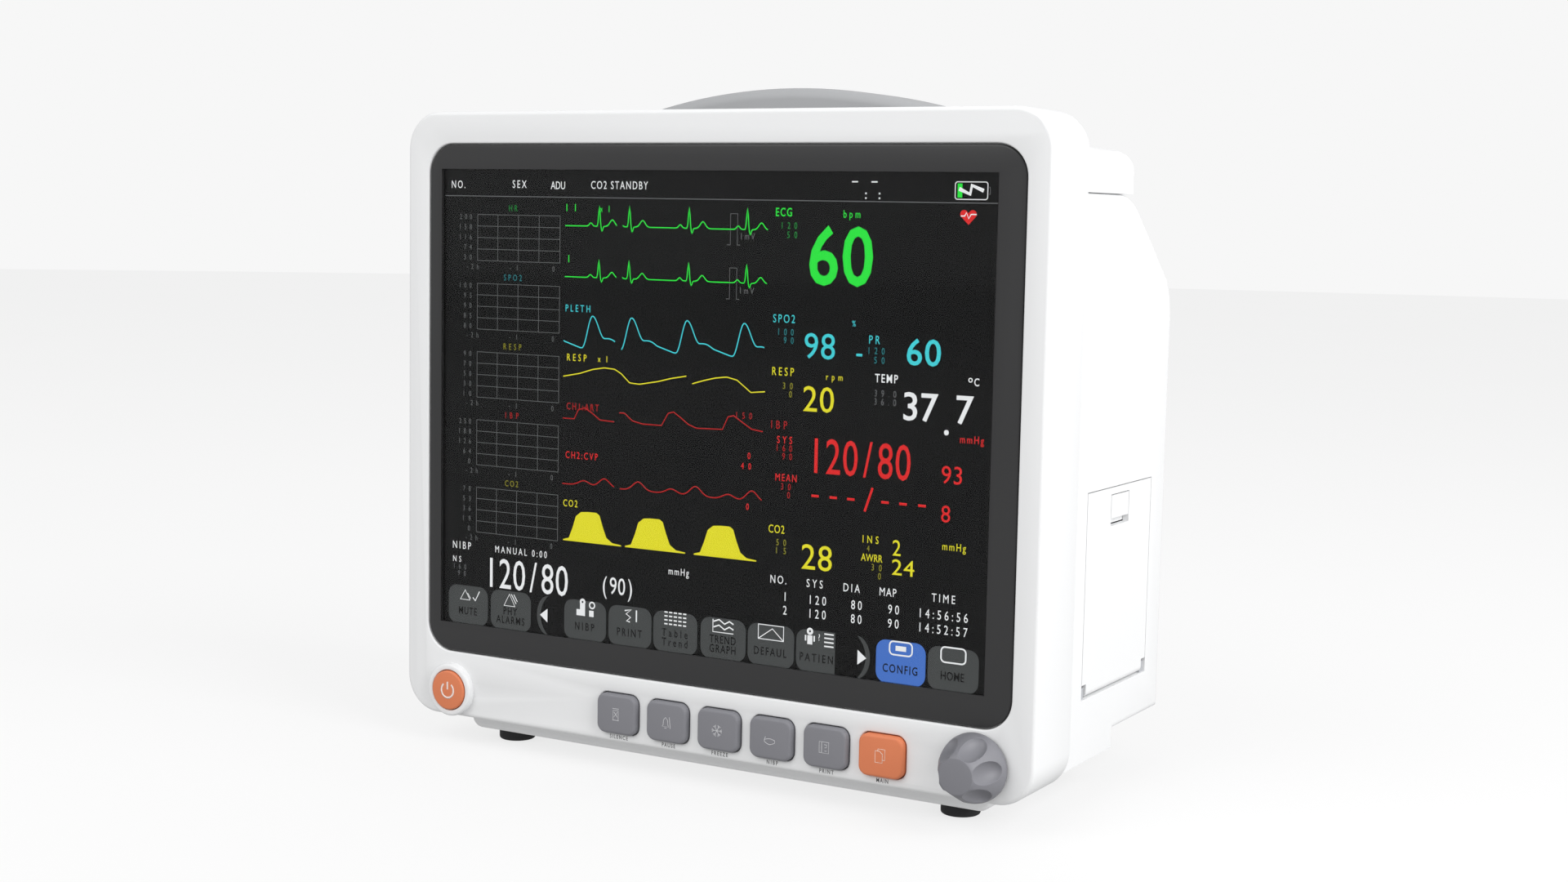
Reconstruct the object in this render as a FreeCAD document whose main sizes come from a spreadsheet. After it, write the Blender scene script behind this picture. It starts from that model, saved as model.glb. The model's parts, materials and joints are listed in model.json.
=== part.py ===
# A bedside patient monitor: +Z up, the screen faces -Y, the floor is Z = 0, and the
# origin is under the middle of the whole object. Every length is in millimetres.
# Depths are counted back from the front face of the bezel, which lies at front_y.
import FreeCAD, Part
import Sketcher
import math
import os
import re

sizes = {
    # the whole casing
    "body_depth": 144.5,
    "housing_width": 269,
    "housing_wall": 2.8,
    "housing_top": 231,
    "housing_low": 15,
    "tail_low": 22,
    "tail_depth": 48.5,
    "slope_top_depth": 47.5,
    "slope_drop": 37,
    "slope_round": 10,
    "housing_round": 6,
    # front bezel, window and touch glass
    "bezel_width": 285,
    "bezel_height": 247.6,
    "bezel_depth": 33,
    "bezel_low": 12,
    "bezel_wall": 3,
    "bezel_front": 5.4,
    "bezel_corner": 15,
    "bezel_edge": 2.6,
    "bezel_lip": 3,
    "lip_reach": 11,
    "glass_width": 263.7,
    "glass_height": 207.2,
    "glass_corner": 11.5,
    "glass_thick": 1.8,
    "glass_recess": 0.5,
    "glass_gap": 0.5,
    "glass_x": 0.6,
    "glass_z": 142.8,
    "gasket_thick": 0.5,
    "screen_width": 246,
    "screen_height": 184.5,
    "screen_x": -1.7,
    "screen_z": 143.8,
    "window_margin": 1.4,
    # display module behind the window
    "panel_border": 7.5,
    "panel_thick": 7,
    "panel_gap": 0.4,
    "cell_gap": 0.5,
    "bond_gap": 0.2,
    "frame_thick": 1.2,
    "frame_margin": 4,
    "frame_height": 176,
    "boss_radius": 3,
    "boss_inset": 3.6,
    "boss_rise": 74,
    # the row of keys
    "key_width": 18.3,
    "key_height": 15.7,
    "key_corner": 3.5,
    "key_proud": 2.4,
    "key_gap": 0.35,
    "key_travel": 1.2,
    "key_space": 5.16,
    "knob_space": 15.55,
    "key_z": 23.8,
    "flange_extra": 0.8,
    "flange_thick": 1.2,
    "stem_radius": 1.6,
    "stem_gap": 0.3,
    "switch_size": 6,
    "switch_rise": 3.4,
    "board_thick": 1.6,
    "board_depth": 14.2,
    "board_end_gap": 10,
    "board_height": 22,
    # power button in its raised ring
    "power_x": -118.4,
    "power_z": 23.1,
    "power_radius": 8.15,
    "power_thick": 2.2,
    "power_gap": 0.3,
    "ring_radius": 10.9,
    "ring_proud": 2.8,
    "power_stem": 3,
    "power_clip": 4.4,
    # selector knob and its rotary encoder
    "knob_x": 119.7,
    "knob_z": 25,
    "knob_reach": 17,
    "knob_gap": 1,
    "knob_base_radius": 12.8,
    "knob_cap_radius": 6.2,
    "knob_rim": 2.4,
    "knob_flutes": 6,
    "flute_radius": 5.4,
    "flute_offset": 14.6,
    "shaft_radius": 3,
    "shaft_clearance": 0.05,
    "shaft_grip": 11,
    "bushing_radius": 3.6,
    "encoder_size": 12,
    "encoder_thick": 6,
    "push_travel": 0.6,
    "plunger_thick": 0.8,
    # top cover with two shoulders, and the fixed carrying handle
    "shoulder_width": 54.5,
    "shoulder_depth": 63.5,
    "shoulder_height": 17,
    "shoulder_wall": 2.5,
    "shoulder_round": 8,
    "web_thick": 2,
    "handle_front": 63,
    "handle_depth": 29,
    "handle_half": 107,
    "handle_top": 271.4,
    "handle_thick": 13,
    "handle_round": 3.5,
    "handle_screw_x": 94,
    "handle_screw_radius": 2,
    "screw_clearance": 0.05,
    # base rail and feet
    "rail_width": 239,
    "rail_start": 14,
    "rail_depth": 80,
    "rail_low": 4.5,
    "rail_corner": 5,
    "foot_radius": 7.5,
    "foot_x": 103,
    "foot_seat": 1.5,
    "foot_front": 24,
    "foot_rear": 84,
    # chassis, posts and screws
    "chassis_depth": 36,
    "chassis_thick": 1.2,
    "chassis_width": 244,
    "chassis_low": 26,
    "chassis_height": 194,
    "post_x": 84,
    "post_low_z": 38,
    "post_high_z": 176,
    "post_radius": 4.5,
    "screw_radius": 1.5,
    "screw_length": 12,
    "head_radius": 2.9,
    "head_height": 1.6,
    "insert_spacing": 100,
    "insert_z": 109,
    "insert_radius": 3.2,
    "insert_bore": 1.65,
    "insert_length": 8,
    # recorder in the right side
    "bay_front": 61,
    "bay_width": 67,
    "bay_low": 39.5,
    "bay_height": 79.5,
    "bay_reach": 42,
    "tub_wall": 1.8,
    "door_gap": 0.4,
    "door_thick": 2.4,
    "hinge_radius": 2.4,
    "hinge_pin_radius": 1,
    "hinge_clearance": 0.05,
    "lug_thick": 4,
    "lug_wall": 0.6,
    "platen_radius": 5,
    "platen_margin": 7.5,
    "platen_drop": 17,
    "platen_inset": 8.6,
    "axle_radius": 1.5,
    "arm_thick": 2.4,
    "arm_gap": 0.4,
    "arm_width": 7,
    "head_gap": 0.3,
    "head_thick": 4,
    "head_rise": 12,
    "roll_radius": 17,
    "roll_core": 6,
    "roll_margin": 8.5,
    "roll_inset": 22,
    "latch_width": 18,
    "latch_height": 9,
    "latch_travel": 2.5,
    "latch_thick": 1.6,
    # battery behind a door in the rear wall
    "cell_x": -93,
    "cell_width": 62,
    "cell_low": 56,
    "cell_height": 90,
    "cell_reach": 31,
    "pack_gap": 1.5,
    "pack_thick": 23,
    # sockets in the left side
    "panel_front": 52,
    "socket_panel_width": 56,
    "socket_panel_low": 36,
    "socket_panel_height": 166,
    "socket_panel_thick": 2,
    "socket_reach": 20,
    "socket_floor": 3,
    "socket_spread": 14,
    # rear sockets
    "inlet_x": 12,
    "inlet_z": 44,
    "inlet_width": 31,
    "inlet_height": 24,
    "inlet_reach": 20,
    "inlet_mouth_width": 24.4,
    "inlet_mouth_height": 17.2,
    "inlet_mouth_depth": 15,
    "blade_width": 1.8,
    "blade_height": 4,
    "blade_length": 10,
    "lan_x": -48,
    "lan_width": 16,
    "lan_height": 13.4,
    "lan_reach": 16,
    "stud_x": -22,
    "stud_radius": 3,
    "stud_shoulder": 4,
    "stud_proud": 8,
    "stud_inside": 6,
    "stud_nut": 3,
    "nipple_length": 6,
    "valve_gap": 20,
    "valve_pitch": 17,
    "tube_side": 6,
    "tube_bend": 9,
    "dish_depth": 5,
    "dish_rim": 3,
    "board_inset": 8,
    "sink_width": 40,
    "sink_height": 40,
    "sink_low": 120,
    "sink_base": 2,
    "sink_reach": 7,
    "fin_pitch": 5.5,
    "fin_thick": 1.5,
    "plug_reach": 5,
    "plug_height": 6,
    "plug_inset": 4,
    "main_plug_left": -90,
    "main_plug_pitch": 26,
    "main_plug_length": 18,
    "side_plug_rise": 22,
    "side_plug_pitch": 36,
    "side_plug_length": 20,
    "latch_flange": 3,
    "latch_hook": 2.5,
    "blade_spread": 7,
    "blade_rise": 2,
    "vent_x": 109,
    "vent_width": 30,
    "vent_height": 2.4,
    "vent_pitch": 6,
    "vent_count": 7,
    "vent_low": 126,
    # inner parts
    "main_board_width": 216,
    "main_board_height": 140,
    "main_board_low": 62,
    "standoff": 6,
    "standoff_radius": 2.5,
    "side_board_width": 86,
    "side_board_height": 150,
    "side_board_low": 60,
    "side_board_x": -68,
    "pump_radius": 13.5,
    "pump_length": 58,
    "pump_z": 150,
    "pump_x": 10,
    "valve_radius": 7,
    "valve_length": 26,
    "supply_width": 112,
    "supply_height": 32,
    "supply_thick": 70,
    "supply_low": 26,
    "speaker_radius": 20,
    "speaker_thick": 12,
    "speaker_x": 60,
    "speaker_z": 196,
    "tube_radius": 2.5,
    "tube_bore": 1.5,
}

# Places and sizes that follow from the ones above.
derived = {
    "key_pitch": "key_width + key_space",
    "key_first_x": "knob_x - knob_base_radius - knob_space - key_width / 2 - 5 * key_pitch",
    "frame_width": "bezel_width - 2 * frame_margin",
    "platen_length": "bay_width - 2 * platen_margin",
    "roll_length": "bay_width - 2 * roll_margin",
    "front_y": "(knob_reach - body_depth - stud_proud) / 2",
    "rear_y": "front_y + body_depth",
    "bezel_back": "front_y + bezel_depth",
    "wall_back": "front_y + bezel_front",
    "side_x": "housing_width / 2",
    "inner_x": "housing_width / 2 - housing_wall",
    "inner_rear": "rear_y - housing_wall",
    "glass_front": "front_y + glass_recess",
    "rebate_depth": "glass_recess + glass_thick + gasket_thick",
    "window_width": "screen_width + 2 * window_margin",
    "window_height": "screen_height + 2 * window_margin",
    "panel_face": "wall_back + panel_gap",
    "panel_back": "panel_face + panel_thick",
    "boss_x": "bezel_width / 2 - bezel_wall - boss_inset",
    "flange_front": "wall_back + 0.1",
    "board_front": "front_y + board_depth",
    "switch_front": "board_front - switch_rise",
    "stem_end": "switch_front - 0.2",
    "plunger_front": "board_front - push_travel - plunger_thick - 0.6",
    "slope_start": "rear_y - slope_top_depth",
    "slope_end_z": "housing_top - slope_drop",
    "slope_length": "sqrt(slope_top_depth ^ 2 + slope_drop ^ 2)",
    "tail_start": "rear_y - tail_depth",
    "cover_top": "housing_top + shoulder_height",
    "shoulder_inner": "housing_width / 2 - shoulder_width",
    "handle_y": "front_y + handle_front",
    "chassis_front": "front_y + chassis_depth",
    "chassis_back": "chassis_front + chassis_thick",
    "bay_y": "front_y + bay_front",
    "bay_top": "bay_low + bay_height",
    "bay_middle": "bay_y + bay_width / 2",
    "hinge_x": "side_x - hinge_radius",
    "hinge_z": "bay_low + door_gap + hinge_radius",
    "platen_x": "side_x - door_thick - platen_inset",
    "platen_z": "bay_top - platen_drop",
    "roll_x": "side_x - roll_inset",
    "roll_z": "bay_low + roll_radius + 0.5",
    "cell_left": "cell_x - cell_width / 2",
    "cell_top": "cell_low + cell_height",
    "cell_hinge_y": "rear_y - hinge_radius",
    "cell_hinge_z": "cell_low + door_gap + hinge_radius",
    "socket_y": "front_y + panel_front + socket_panel_width / 2",
    "latch_top": "bay_top - door_gap - 3",
    "supply_back": "chassis_back + supply_thick",
    "pump_y": "chassis_back + pump_radius",
    "port_z": "socket_panel_low + 40",
}

doc = FreeCAD.newDocument("PatientMonitor")
sheet = doc.addObject("Spreadsheet::Sheet", "Sizes")
for row, (alias, value) in enumerate(sizes.items(), start=1):
    sheet.set(f"A{row}", alias)
    sheet.set(f"B{row}", str(value))
    sheet.setAlias(f"B{row}", alias)
doc.recompute()

nodes = []


def full(text):
    """The expression with each name replaced by its sheet cell or its own formula."""
    def swap(found):
        word = found.group(0)
        if word in derived:
            return "(" + full(derived[word]) + ")"
        if word in sizes:
            return "Sizes." + word
        return word
    return re.sub(r"[A-Za-z_]\w*", swap, str(text))


def value(text):
    return float(sheet.evalExpression(full(text)))


def bind(item, prop, text):
    item.setExpression(prop, full(text))


def place(item, x="0", y="0", z="0"):
    for axis, text in zip("xyz", (x, y, z)):
        bind(item, "Placement.Base." + axis, text)


def node(item, label):
    item.Label = label
    nodes.append(item)
    return item


# ---------- primitives ----------

def box(name, xs, ys, zs):
    item = doc.addObject("Part::Box", name)
    for prop, (low, high) in zip(("Length", "Width", "Height"), (xs, ys, zs)):
        bind(item, prop, f"({high}) - ({low})")
    place(item, xs[0], ys[0], zs[0])
    return item


def rod(name, axis, centre, low, high, radius):
    """A cylinder along one axis; centre gives the two other coordinates in XYZ order."""
    item = doc.addObject("Part::Cylinder", name)
    bind(item, "Radius", radius)
    bind(item, "Height", f"({high}) - ({low})")
    if axis == "x":
        item.Placement.Rotation = FreeCAD.Rotation(FreeCAD.Vector(0, 1, 0), 90)
        place(item, low, centre[0], centre[1])
    elif axis == "y":
        item.Placement.Rotation = FreeCAD.Rotation(FreeCAD.Vector(1, 0, 0), -90)
        place(item, centre[0], low, centre[1])
    else:
        place(item, centre[0], centre[1], low)
    return item


def cut(name, base, *tools):
    for index, tool in enumerate(tools):
        result = doc.addObject("Part::Cut", f"{name}_cut{index}")
        result.Base = base
        result.Tool = tool
        base = result
    return base


def fuse(name, *items):
    result = doc.addObject("Part::MultiFuse", name + "_fuse")
    result.Shapes = list(items)
    return result


def group(name, *items):
    """Separate solids kept in one node."""
    result = doc.addObject("Part::Compound", name + "_group")
    result.Links = list(items)
    return result


# ---------- sketches and features ----------

def newBody(label):
    return node(doc.addObject("PartDesign::Body", label + "_body"), label)


def newSketch(body, name, plane, at):
    sketch = body.newObject("Sketcher::SketchObject", name)
    origin = [item for item in body.Origin.OriginFeatures if item.Role == plane + "_Plane"][0]
    sketch.AttachmentSupport = [(origin, "")]
    sketch.MapMode = "FlatFace"
    sign = "-" if plane == "XZ" else ""
    bind(sketch, "AttachmentOffset.Base.z", f"{sign}({at})")
    return sketch


def pin(sketch, geometry, point, across, up):
    """Fixes one point of a sketch at two expressions."""
    for kind, text in (("DistanceX", across), ("DistanceY", up)):
        index = sketch.addConstraint(Sketcher.Constraint(kind, -1, 1, geometry, point, value(text)))
        bind(sketch, f"Constraints[{index}]", text)


def drawPolygon(sketch, corners):
    points = [FreeCAD.Vector(value(x), value(y), 0) for x, y in corners]
    count = len(points)
    for index in range(count):
        sketch.addGeometry(Part.LineSegment(points[index], points[(index + 1) % count]))
    for index in range(count):
        following = (index + 1) % count
        sketch.addConstraint(Sketcher.Constraint("Coincident", index, 2, following, 1))
    for index, (x, y) in enumerate(corners):
        pin(sketch, index, 1, x, y)


def drawRectangle(sketch, centre, width, height):
    left, right = f"({centre[0]}) - ({width}) / 2", f"({centre[0]}) + ({width}) / 2"
    low, high = f"({centre[1]}) - ({height}) / 2", f"({centre[1]}) + ({height}) / 2"
    drawPolygon(sketch, [(left, low), (right, low), (right, high), (left, high)])


def drawRounded(sketch, centre, width, height, radius):
    """A rectangle with round corners, drawn anticlockwise from its lower right corner."""
    across, up = f"(({width}) / 2 - ({radius}))", f"(({height}) / 2 - ({radius}))"
    normal = FreeCAD.Vector(0, 0, 1)
    arcs = []
    for index, (side, level) in enumerate(((1, -1), (1, 1), (-1, 1), (-1, -1))):
        x, y = f"({centre[0]}) + {side} * {across}", f"({centre[1]}) + {level} * {up}"
        circle = Part.Circle(FreeCAD.Vector(value(x), value(y), 0), normal, value(radius))
        start = (index - 1) * math.pi / 2
        arc = sketch.addGeometry(Part.ArcOfCircle(circle, start, start + math.pi / 2))
        arcs.append(arc)
        outX, outY = f"{x} + {side} * ({radius})", f"{y} + {level} * ({radius})"
        first, last = ((x, outY), (outX, y)) if index % 2 == 0 else ((outX, y), (x, outY))
        pin(sketch, arc, 1, *first)
        pin(sketch, arc, 2, *last)
        limit = sketch.addConstraint(Sketcher.Constraint("Radius", arc, value(radius)))
        bind(sketch, f"Constraints[{limit}]", radius)
    for index, arc in enumerate(arcs):
        following = arcs[(index + 1) % 4]
        circle, other = sketch.Geometry[arc], sketch.Geometry[following]
        line = sketch.addGeometry(Part.LineSegment(circle.EndPoint, other.StartPoint))
        sketch.addConstraint(Sketcher.Constraint("Coincident", line, 1, arc, 2))
        sketch.addConstraint(Sketcher.Constraint("Coincident", line, 2, following, 1))


def drawCircle(sketch, centre, radius):
    middle = FreeCAD.Vector(value(centre[0]), value(centre[1]), 0)
    normal = FreeCAD.Vector(0, 0, 1)
    index = sketch.addGeometry(Part.Circle(middle, normal, value(radius)))
    pin(sketch, index, 3, centre[0], centre[1])
    limit = sketch.addConstraint(Sketcher.Constraint("Radius", index, value(radius)))
    bind(sketch, f"Constraints[{limit}]", radius)


def extrude(body, name, plane, low, high, draw, *shape, remove=False):
    """Pads or pockets a sketch between two planes; low and high are along the normal axis."""
    startsHigh = (plane == "XZ") != remove
    sketch = newSketch(body, name + "_sketch", plane, high if startsHigh else low)
    draw(sketch, *shape)
    kind = "PartDesign::Pocket" if remove else "PartDesign::Pad"
    feature = body.newObject(kind, name)
    feature.Profile = sketch
    bind(feature, "Length", f"({high}) - ({low})")
    doc.recompute()
    return feature


def carve(body, name, plane, low, high, draw, *shape):
    before = body.Shape.Volume
    feature = extrude(body, name, plane, low, high, draw, *shape, remove=True)
    if body.Shape.Volume > before - 0.01:
        raise RuntimeError(name + " removed nothing")
    return feature


def roundEdges(body, name, radius, wanted):
    """Fillets every edge of the body's present shape that wanted(start, end) accepts."""
    base = body.Tip
    picked = []
    for index, edge in enumerate(base.Shape.Edges, start=1):
        ends = [vertex.Point for vertex in edge.Vertexes]
        if len(ends) == 2 and wanted(ends[0], ends[1]):
            picked.append(f"Edge{index}")
    feature = body.newObject("PartDesign::Fillet", name)
    feature.Base = (base, picked)
    bind(feature, "Radius", radius)
    doc.recompute()
    return feature


def near(number, text):
    return abs(number - value(text)) < 0.01


def along(axis):
    """Accepts edges that run along one axis."""
    others = [name for name in "xyz" if name != axis]

    def wanted(start, end):
        return all(abs(getattr(start, name) - getattr(end, name)) < 1e-6 for name in others)
    return wanted


def onPlane(axis, text):
    """Accepts edges that lie in one plane across an axis."""
    def wanted(start, end):
        return near(getattr(start, axis), text) and near(getattr(end, axis), text)
    return wanted


def both(first, second):
    return lambda start, end: first(start, end) and second(start, end)


keyNames = ("silence_key", "pause_key", "freeze_key", "nibp_key", "print_key", "main_key")


def keyX(index):
    return f"key_first_x + {index} * key_pitch"


# ---------- front: bezel, glass, display ----------

def makeBezel():
    body = newBody("front_bezel")
    middle = "bezel_low + bezel_height / 2"
    extrude(body, "bezel_block", "XZ", "front_y", "bezel_back",
            drawRectangle, ("0", middle), "bezel_width", "bezel_height")
    roundEdges(body, "bezel_corners", "bezel_corner", along("y"))
    roundEdges(body, "bezel_front_edge", "bezel_edge", onPlane("y", "front_y"))
    roundEdges(body, "bezel_back_edge", "bezel_edge / 2", onPlane("y", "bezel_back"))
    carve(body, "bezel_hollow", "XZ", "wall_back", "bezel_back - bezel_lip", drawRounded,
          ("0", middle), "bezel_width - 2 * bezel_wall", "bezel_height - 2 * bezel_wall",
          "bezel_corner - bezel_wall")
    backWidth = "bezel_width - 2 * lip_reach"
    backHeight = "housing_top - housing_low - 2 * housing_wall"
    carve(body, "bezel_back_opening", "XZ", "bezel_back - bezel_lip - 0.01", "bezel_back",
          drawRectangle, ("0", "(housing_top + housing_low) / 2"), backWidth, backHeight)
    carve(body, "glass_rebate", "XZ", "front_y", "front_y + rebate_depth", drawRounded,
          ("glass_x", "glass_z"), "glass_width + 2 * glass_gap", "glass_height + 2 * glass_gap",
          "glass_corner + glass_gap")
    carve(body, "window", "XZ", "front_y + rebate_depth - 0.01", "wall_back + 0.01",
          drawRectangle, ("screen_x", "screen_z"), "window_width", "window_height")
    for index, name in enumerate(keyNames):
        carve(body, name + "_hole", "XZ", "front_y - 0.01", "wall_back + 0.01", drawRounded,
              (keyX(index), "key_z"), "key_width + 2 * key_gap", "key_height + 2 * key_gap",
              "key_corner + key_gap")
    carve(body, "power_hole", "XZ", "front_y - 0.01", "wall_back + 0.01",
          drawCircle, ("power_x", "power_z"), "power_stem + power_gap")
    carve(body, "encoder_hole", "XZ", "front_y - 0.01", "wall_back + 0.01",
          drawCircle, ("knob_x", "knob_z"), "bushing_radius + 0.1")
    for side in ("-1", "1"):
        for level in ("-1", "1"):
            extrude(body, "boss" + side.replace("-", "m") + level.replace("-", "m"), "XZ",
                    "wall_back - 0.5", "panel_back", drawCircle,
                    (side + " * boss_x", "screen_z + " + level + " * boss_rise"), "boss_radius")
    for side in ("-1", "1"):
        for level in ("-1", "1"):
            carve(body, "pilot" + side.replace("-", "m") + level.replace("-", "m"), "XZ",
                  "wall_back", "panel_back", drawCircle,
                  (side + " * boss_x", "screen_z + " + level + " * boss_rise"),
                  "screw_radius + screw_clearance")


def makeGlass():
    body = newBody("touch_glass")
    extrude(body, "glass_plate", "XZ", "glass_front", "glass_front + glass_thick",
            drawRounded, ("glass_x", "glass_z"), "glass_width", "glass_height", "glass_corner")
    gasket = newBody("glass_gasket")
    back = "front_y + rebate_depth"
    extrude(gasket, "gasket_plate", "XZ", back + " - gasket_thick", back,
            drawRounded, ("glass_x", "glass_z"), "glass_width", "glass_height", "glass_corner")
    carve(gasket, "gasket_window", "XZ", back + " - gasket_thick", back, drawRectangle,
          ("screen_x", "screen_z"), "window_width", "window_height")


def makeDisplay():
    sideways = "(screen_width / 2 + panel_border)"
    upwards = "(screen_height / 2 + panel_border)"
    module = box("lcd_module", ("screen_x - " + sideways, "screen_x + " + sideways),
                 ("panel_face", "panel_back"),
                 ("screen_z - " + upwards, "screen_z + " + upwards))
    cellWidth = "(window_width / 2 - cell_gap)"
    cellHeight = "(window_height / 2 - cell_gap)"
    cell = box("lcd_cell", ("screen_x - " + cellWidth, "screen_x + " + cellWidth),
               ("glass_front + glass_thick + bond_gap", "panel_face + 0.1"),
               ("screen_z - " + cellHeight, "screen_z + " + cellHeight))
    node(fuse("lcd_panel", module, cell), "lcd_panel")
    plate = box("lcd_frame_box", ("-frame_width / 2", "frame_width / 2"),
                ("panel_back", "panel_back + frame_thick"),
                ("screen_z - frame_height / 2", "screen_z + frame_height / 2"))
    holes = []
    screws = []
    for index, side in enumerate(("-1", "1")):
        for level in ("-1", "1"):
            spot = (side + " * boss_x", "screen_z + " + level + " * boss_rise")
            tag = f"{index}{level.replace('-', 'm')}"
            holes.append(rod("frame_hole" + tag, "y", spot, "panel_back - 1",
                             "panel_back + frame_thick + 1", "screw_radius + screw_clearance"))
            shank = rod("lcd_shank" + tag, "y", spot, "wall_back + 1",
                        "panel_back + frame_thick + 0.1", "screw_radius")
            head = rod("lcd_head" + tag, "y", spot, "panel_back + frame_thick",
                       "panel_back + frame_thick + head_height", "head_radius")
            screws.append(fuse("lcd_screw" + tag, shank, head))
    node(cut("lcd_frame", plate, *holes), "lcd_frame")
    node(group("lcd_screws", *screws), "lcd_screws")


# ---------- keys, power button, knob ----------

def makeKey(index, name):
    body = newBody(name)
    spot = (keyX(index), "key_z")
    extrude(body, name + "_cap", "XZ", "front_y - key_proud", "flange_front",
            drawRounded, spot, "key_width", "key_height", "key_corner")
    roundEdges(body, name + "_edge", "key_corner / 4", onPlane("y", "front_y - key_proud"))
    extrude(body, name + "_flange", "XZ", "flange_front", "flange_front + flange_thick",
            drawRectangle, spot, "key_width + 2 * flange_extra", "key_height + 2 * flange_extra")
    extrude(body, name + "_stem", "XZ", "flange_front + flange_thick - 0.1", "stem_end",
            drawCircle, spot, "stem_radius")


def makeKeyBoard():
    left = "-bezel_width / 2 + bezel_wall + board_end_gap"
    right = "bezel_width / 2 - bezel_wall - board_end_gap"
    low = "bezel_low + bezel_wall + 0.6"
    node(box("key_board_box", (left, right), ("board_front", "board_front + board_thick"),
             (low, low + " + board_height")), "key_board")
    switches = []
    spots = [(keyX(index), "key_z") for index in range(len(keyNames))]
    spots.append(("power_x", "power_z"))
    for index, (x, z) in enumerate(spots):
        can = box(f"switch_can{index}", (x + " - switch_size / 2", x + " + switch_size / 2"),
                  ("switch_front", "board_front"),
                  (z + " - switch_size / 2", z + " + switch_size / 2"))
        well = rod(f"switch_well{index}", "y", (x, z), "switch_front - 1",
                   "switch_front + key_travel + 0.6", "stem_radius + stem_gap")
        switches.append(cut(f"switch{index}", can, well))
    node(group("key_switches", *switches), "key_switches")


def makePower():
    ring = newBody("power_ring")
    spot = ("power_x", "power_z")
    extrude(ring, "ring_disc", "XZ", "front_y - ring_proud", "front_y", drawCircle, spot,
            "ring_radius")
    carve(ring, "ring_bore", "XZ", "front_y - ring_proud", "front_y", drawCircle, spot,
          "power_radius + power_gap")
    button = newBody("power_button")
    face = "front_y - key_travel - 0.2 - power_thick"
    extrude(button, "button_cap", "XZ", face, face + " + power_thick", drawCircle, spot,
            "power_radius")
    extrude(button, "button_stem", "XZ", face + " + power_thick - 0.1", "flange_front + 0.1",
            drawCircle, spot, "power_stem")
    extrude(button, "button_clip", "XZ", "flange_front", "flange_front + flange_thick",
            drawCircle, spot, "power_clip")
    extrude(button, "button_tip", "XZ", "flange_front + flange_thick - 0.1", "stem_end",
            drawCircle, spot, "stem_radius")


def makeKnob():
    spot = ("knob_x", "knob_z")
    back = "front_y - knob_gap"
    front = "front_y - knob_reach"
    knob = newBody("selector_knob")
    sketch = newSketch(knob, "knob_profile", "YZ", "knob_x")
    drawPolygon(sketch, [
        (back, "knob_z"),
        (back, "knob_z + knob_base_radius"),
        (back + " - knob_rim", "knob_z + knob_base_radius"),
        (front, "knob_z + knob_cap_radius"),
        (front, "knob_z"),
    ])
    turned = knob.newObject("PartDesign::Revolution", "knob_turned")
    turned.Profile = sketch
    turned.ReferenceAxis = (sketch, ["Edge5"])
    turned.Angle = 360
    doc.recompute()
    flute = carve(knob, "knob_flute", "XZ", front + " - 1", back + " - knob_rim", drawCircle,
                  ("knob_x", "knob_z + flute_offset"), "flute_radius")
    axis = newSketch(knob, "knob_axis", "XZ", front)
    axis.addGeometry(Part.Point(FreeCAD.Vector(value("knob_x"), value("knob_z"), 0)))
    pin(axis, 0, 1, "knob_x", "knob_z")
    doc.recompute()
    pattern = knob.newObject("PartDesign::PolarPattern", "knob_flutes_around")
    pattern.Originals = [flute]
    pattern.Axis = (axis, ["N_Axis"])
    pattern.Angle = 360
    bind(pattern, "Occurrences", "knob_flutes")
    knob.Tip = pattern
    doc.recompute()
    carve(knob, "knob_bore", "XZ", back + " - shaft_grip", back, drawCircle, spot,
          "shaft_radius")
    node(rod("encoder_shaft_rod", "y", spot, back + " - shaft_grip", "plunger_front",
             "shaft_radius"), "encoder_shaft")
    node(rod("encoder_plunger_rod", "y", spot, "plunger_front",
             "plunger_front + plunger_thick", "shaft_radius"), "encoder_plunger")
    base = box("encoder_base", ("knob_x - encoder_size / 2", "knob_x + encoder_size / 2"),
               ("board_front - encoder_thick", "board_front"),
               ("knob_z - encoder_size / 2 + 2", "knob_z + encoder_size / 2"))
    bushing = rod("encoder_bushing", "y", spot, "front_y + 0.4", "board_front - 1",
                  "bushing_radius")
    bore = rod("encoder_bore", "y", spot, "front_y - 1",
               "plunger_front + plunger_thick + push_travel + 0.2",
               "shaft_radius + shaft_clearance")
    node(cut("encoder_body", fuse("encoder_solid", base, bushing), bore), "encoder_body")


# ---------- rear housing, top cover, handle, base ----------

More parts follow.
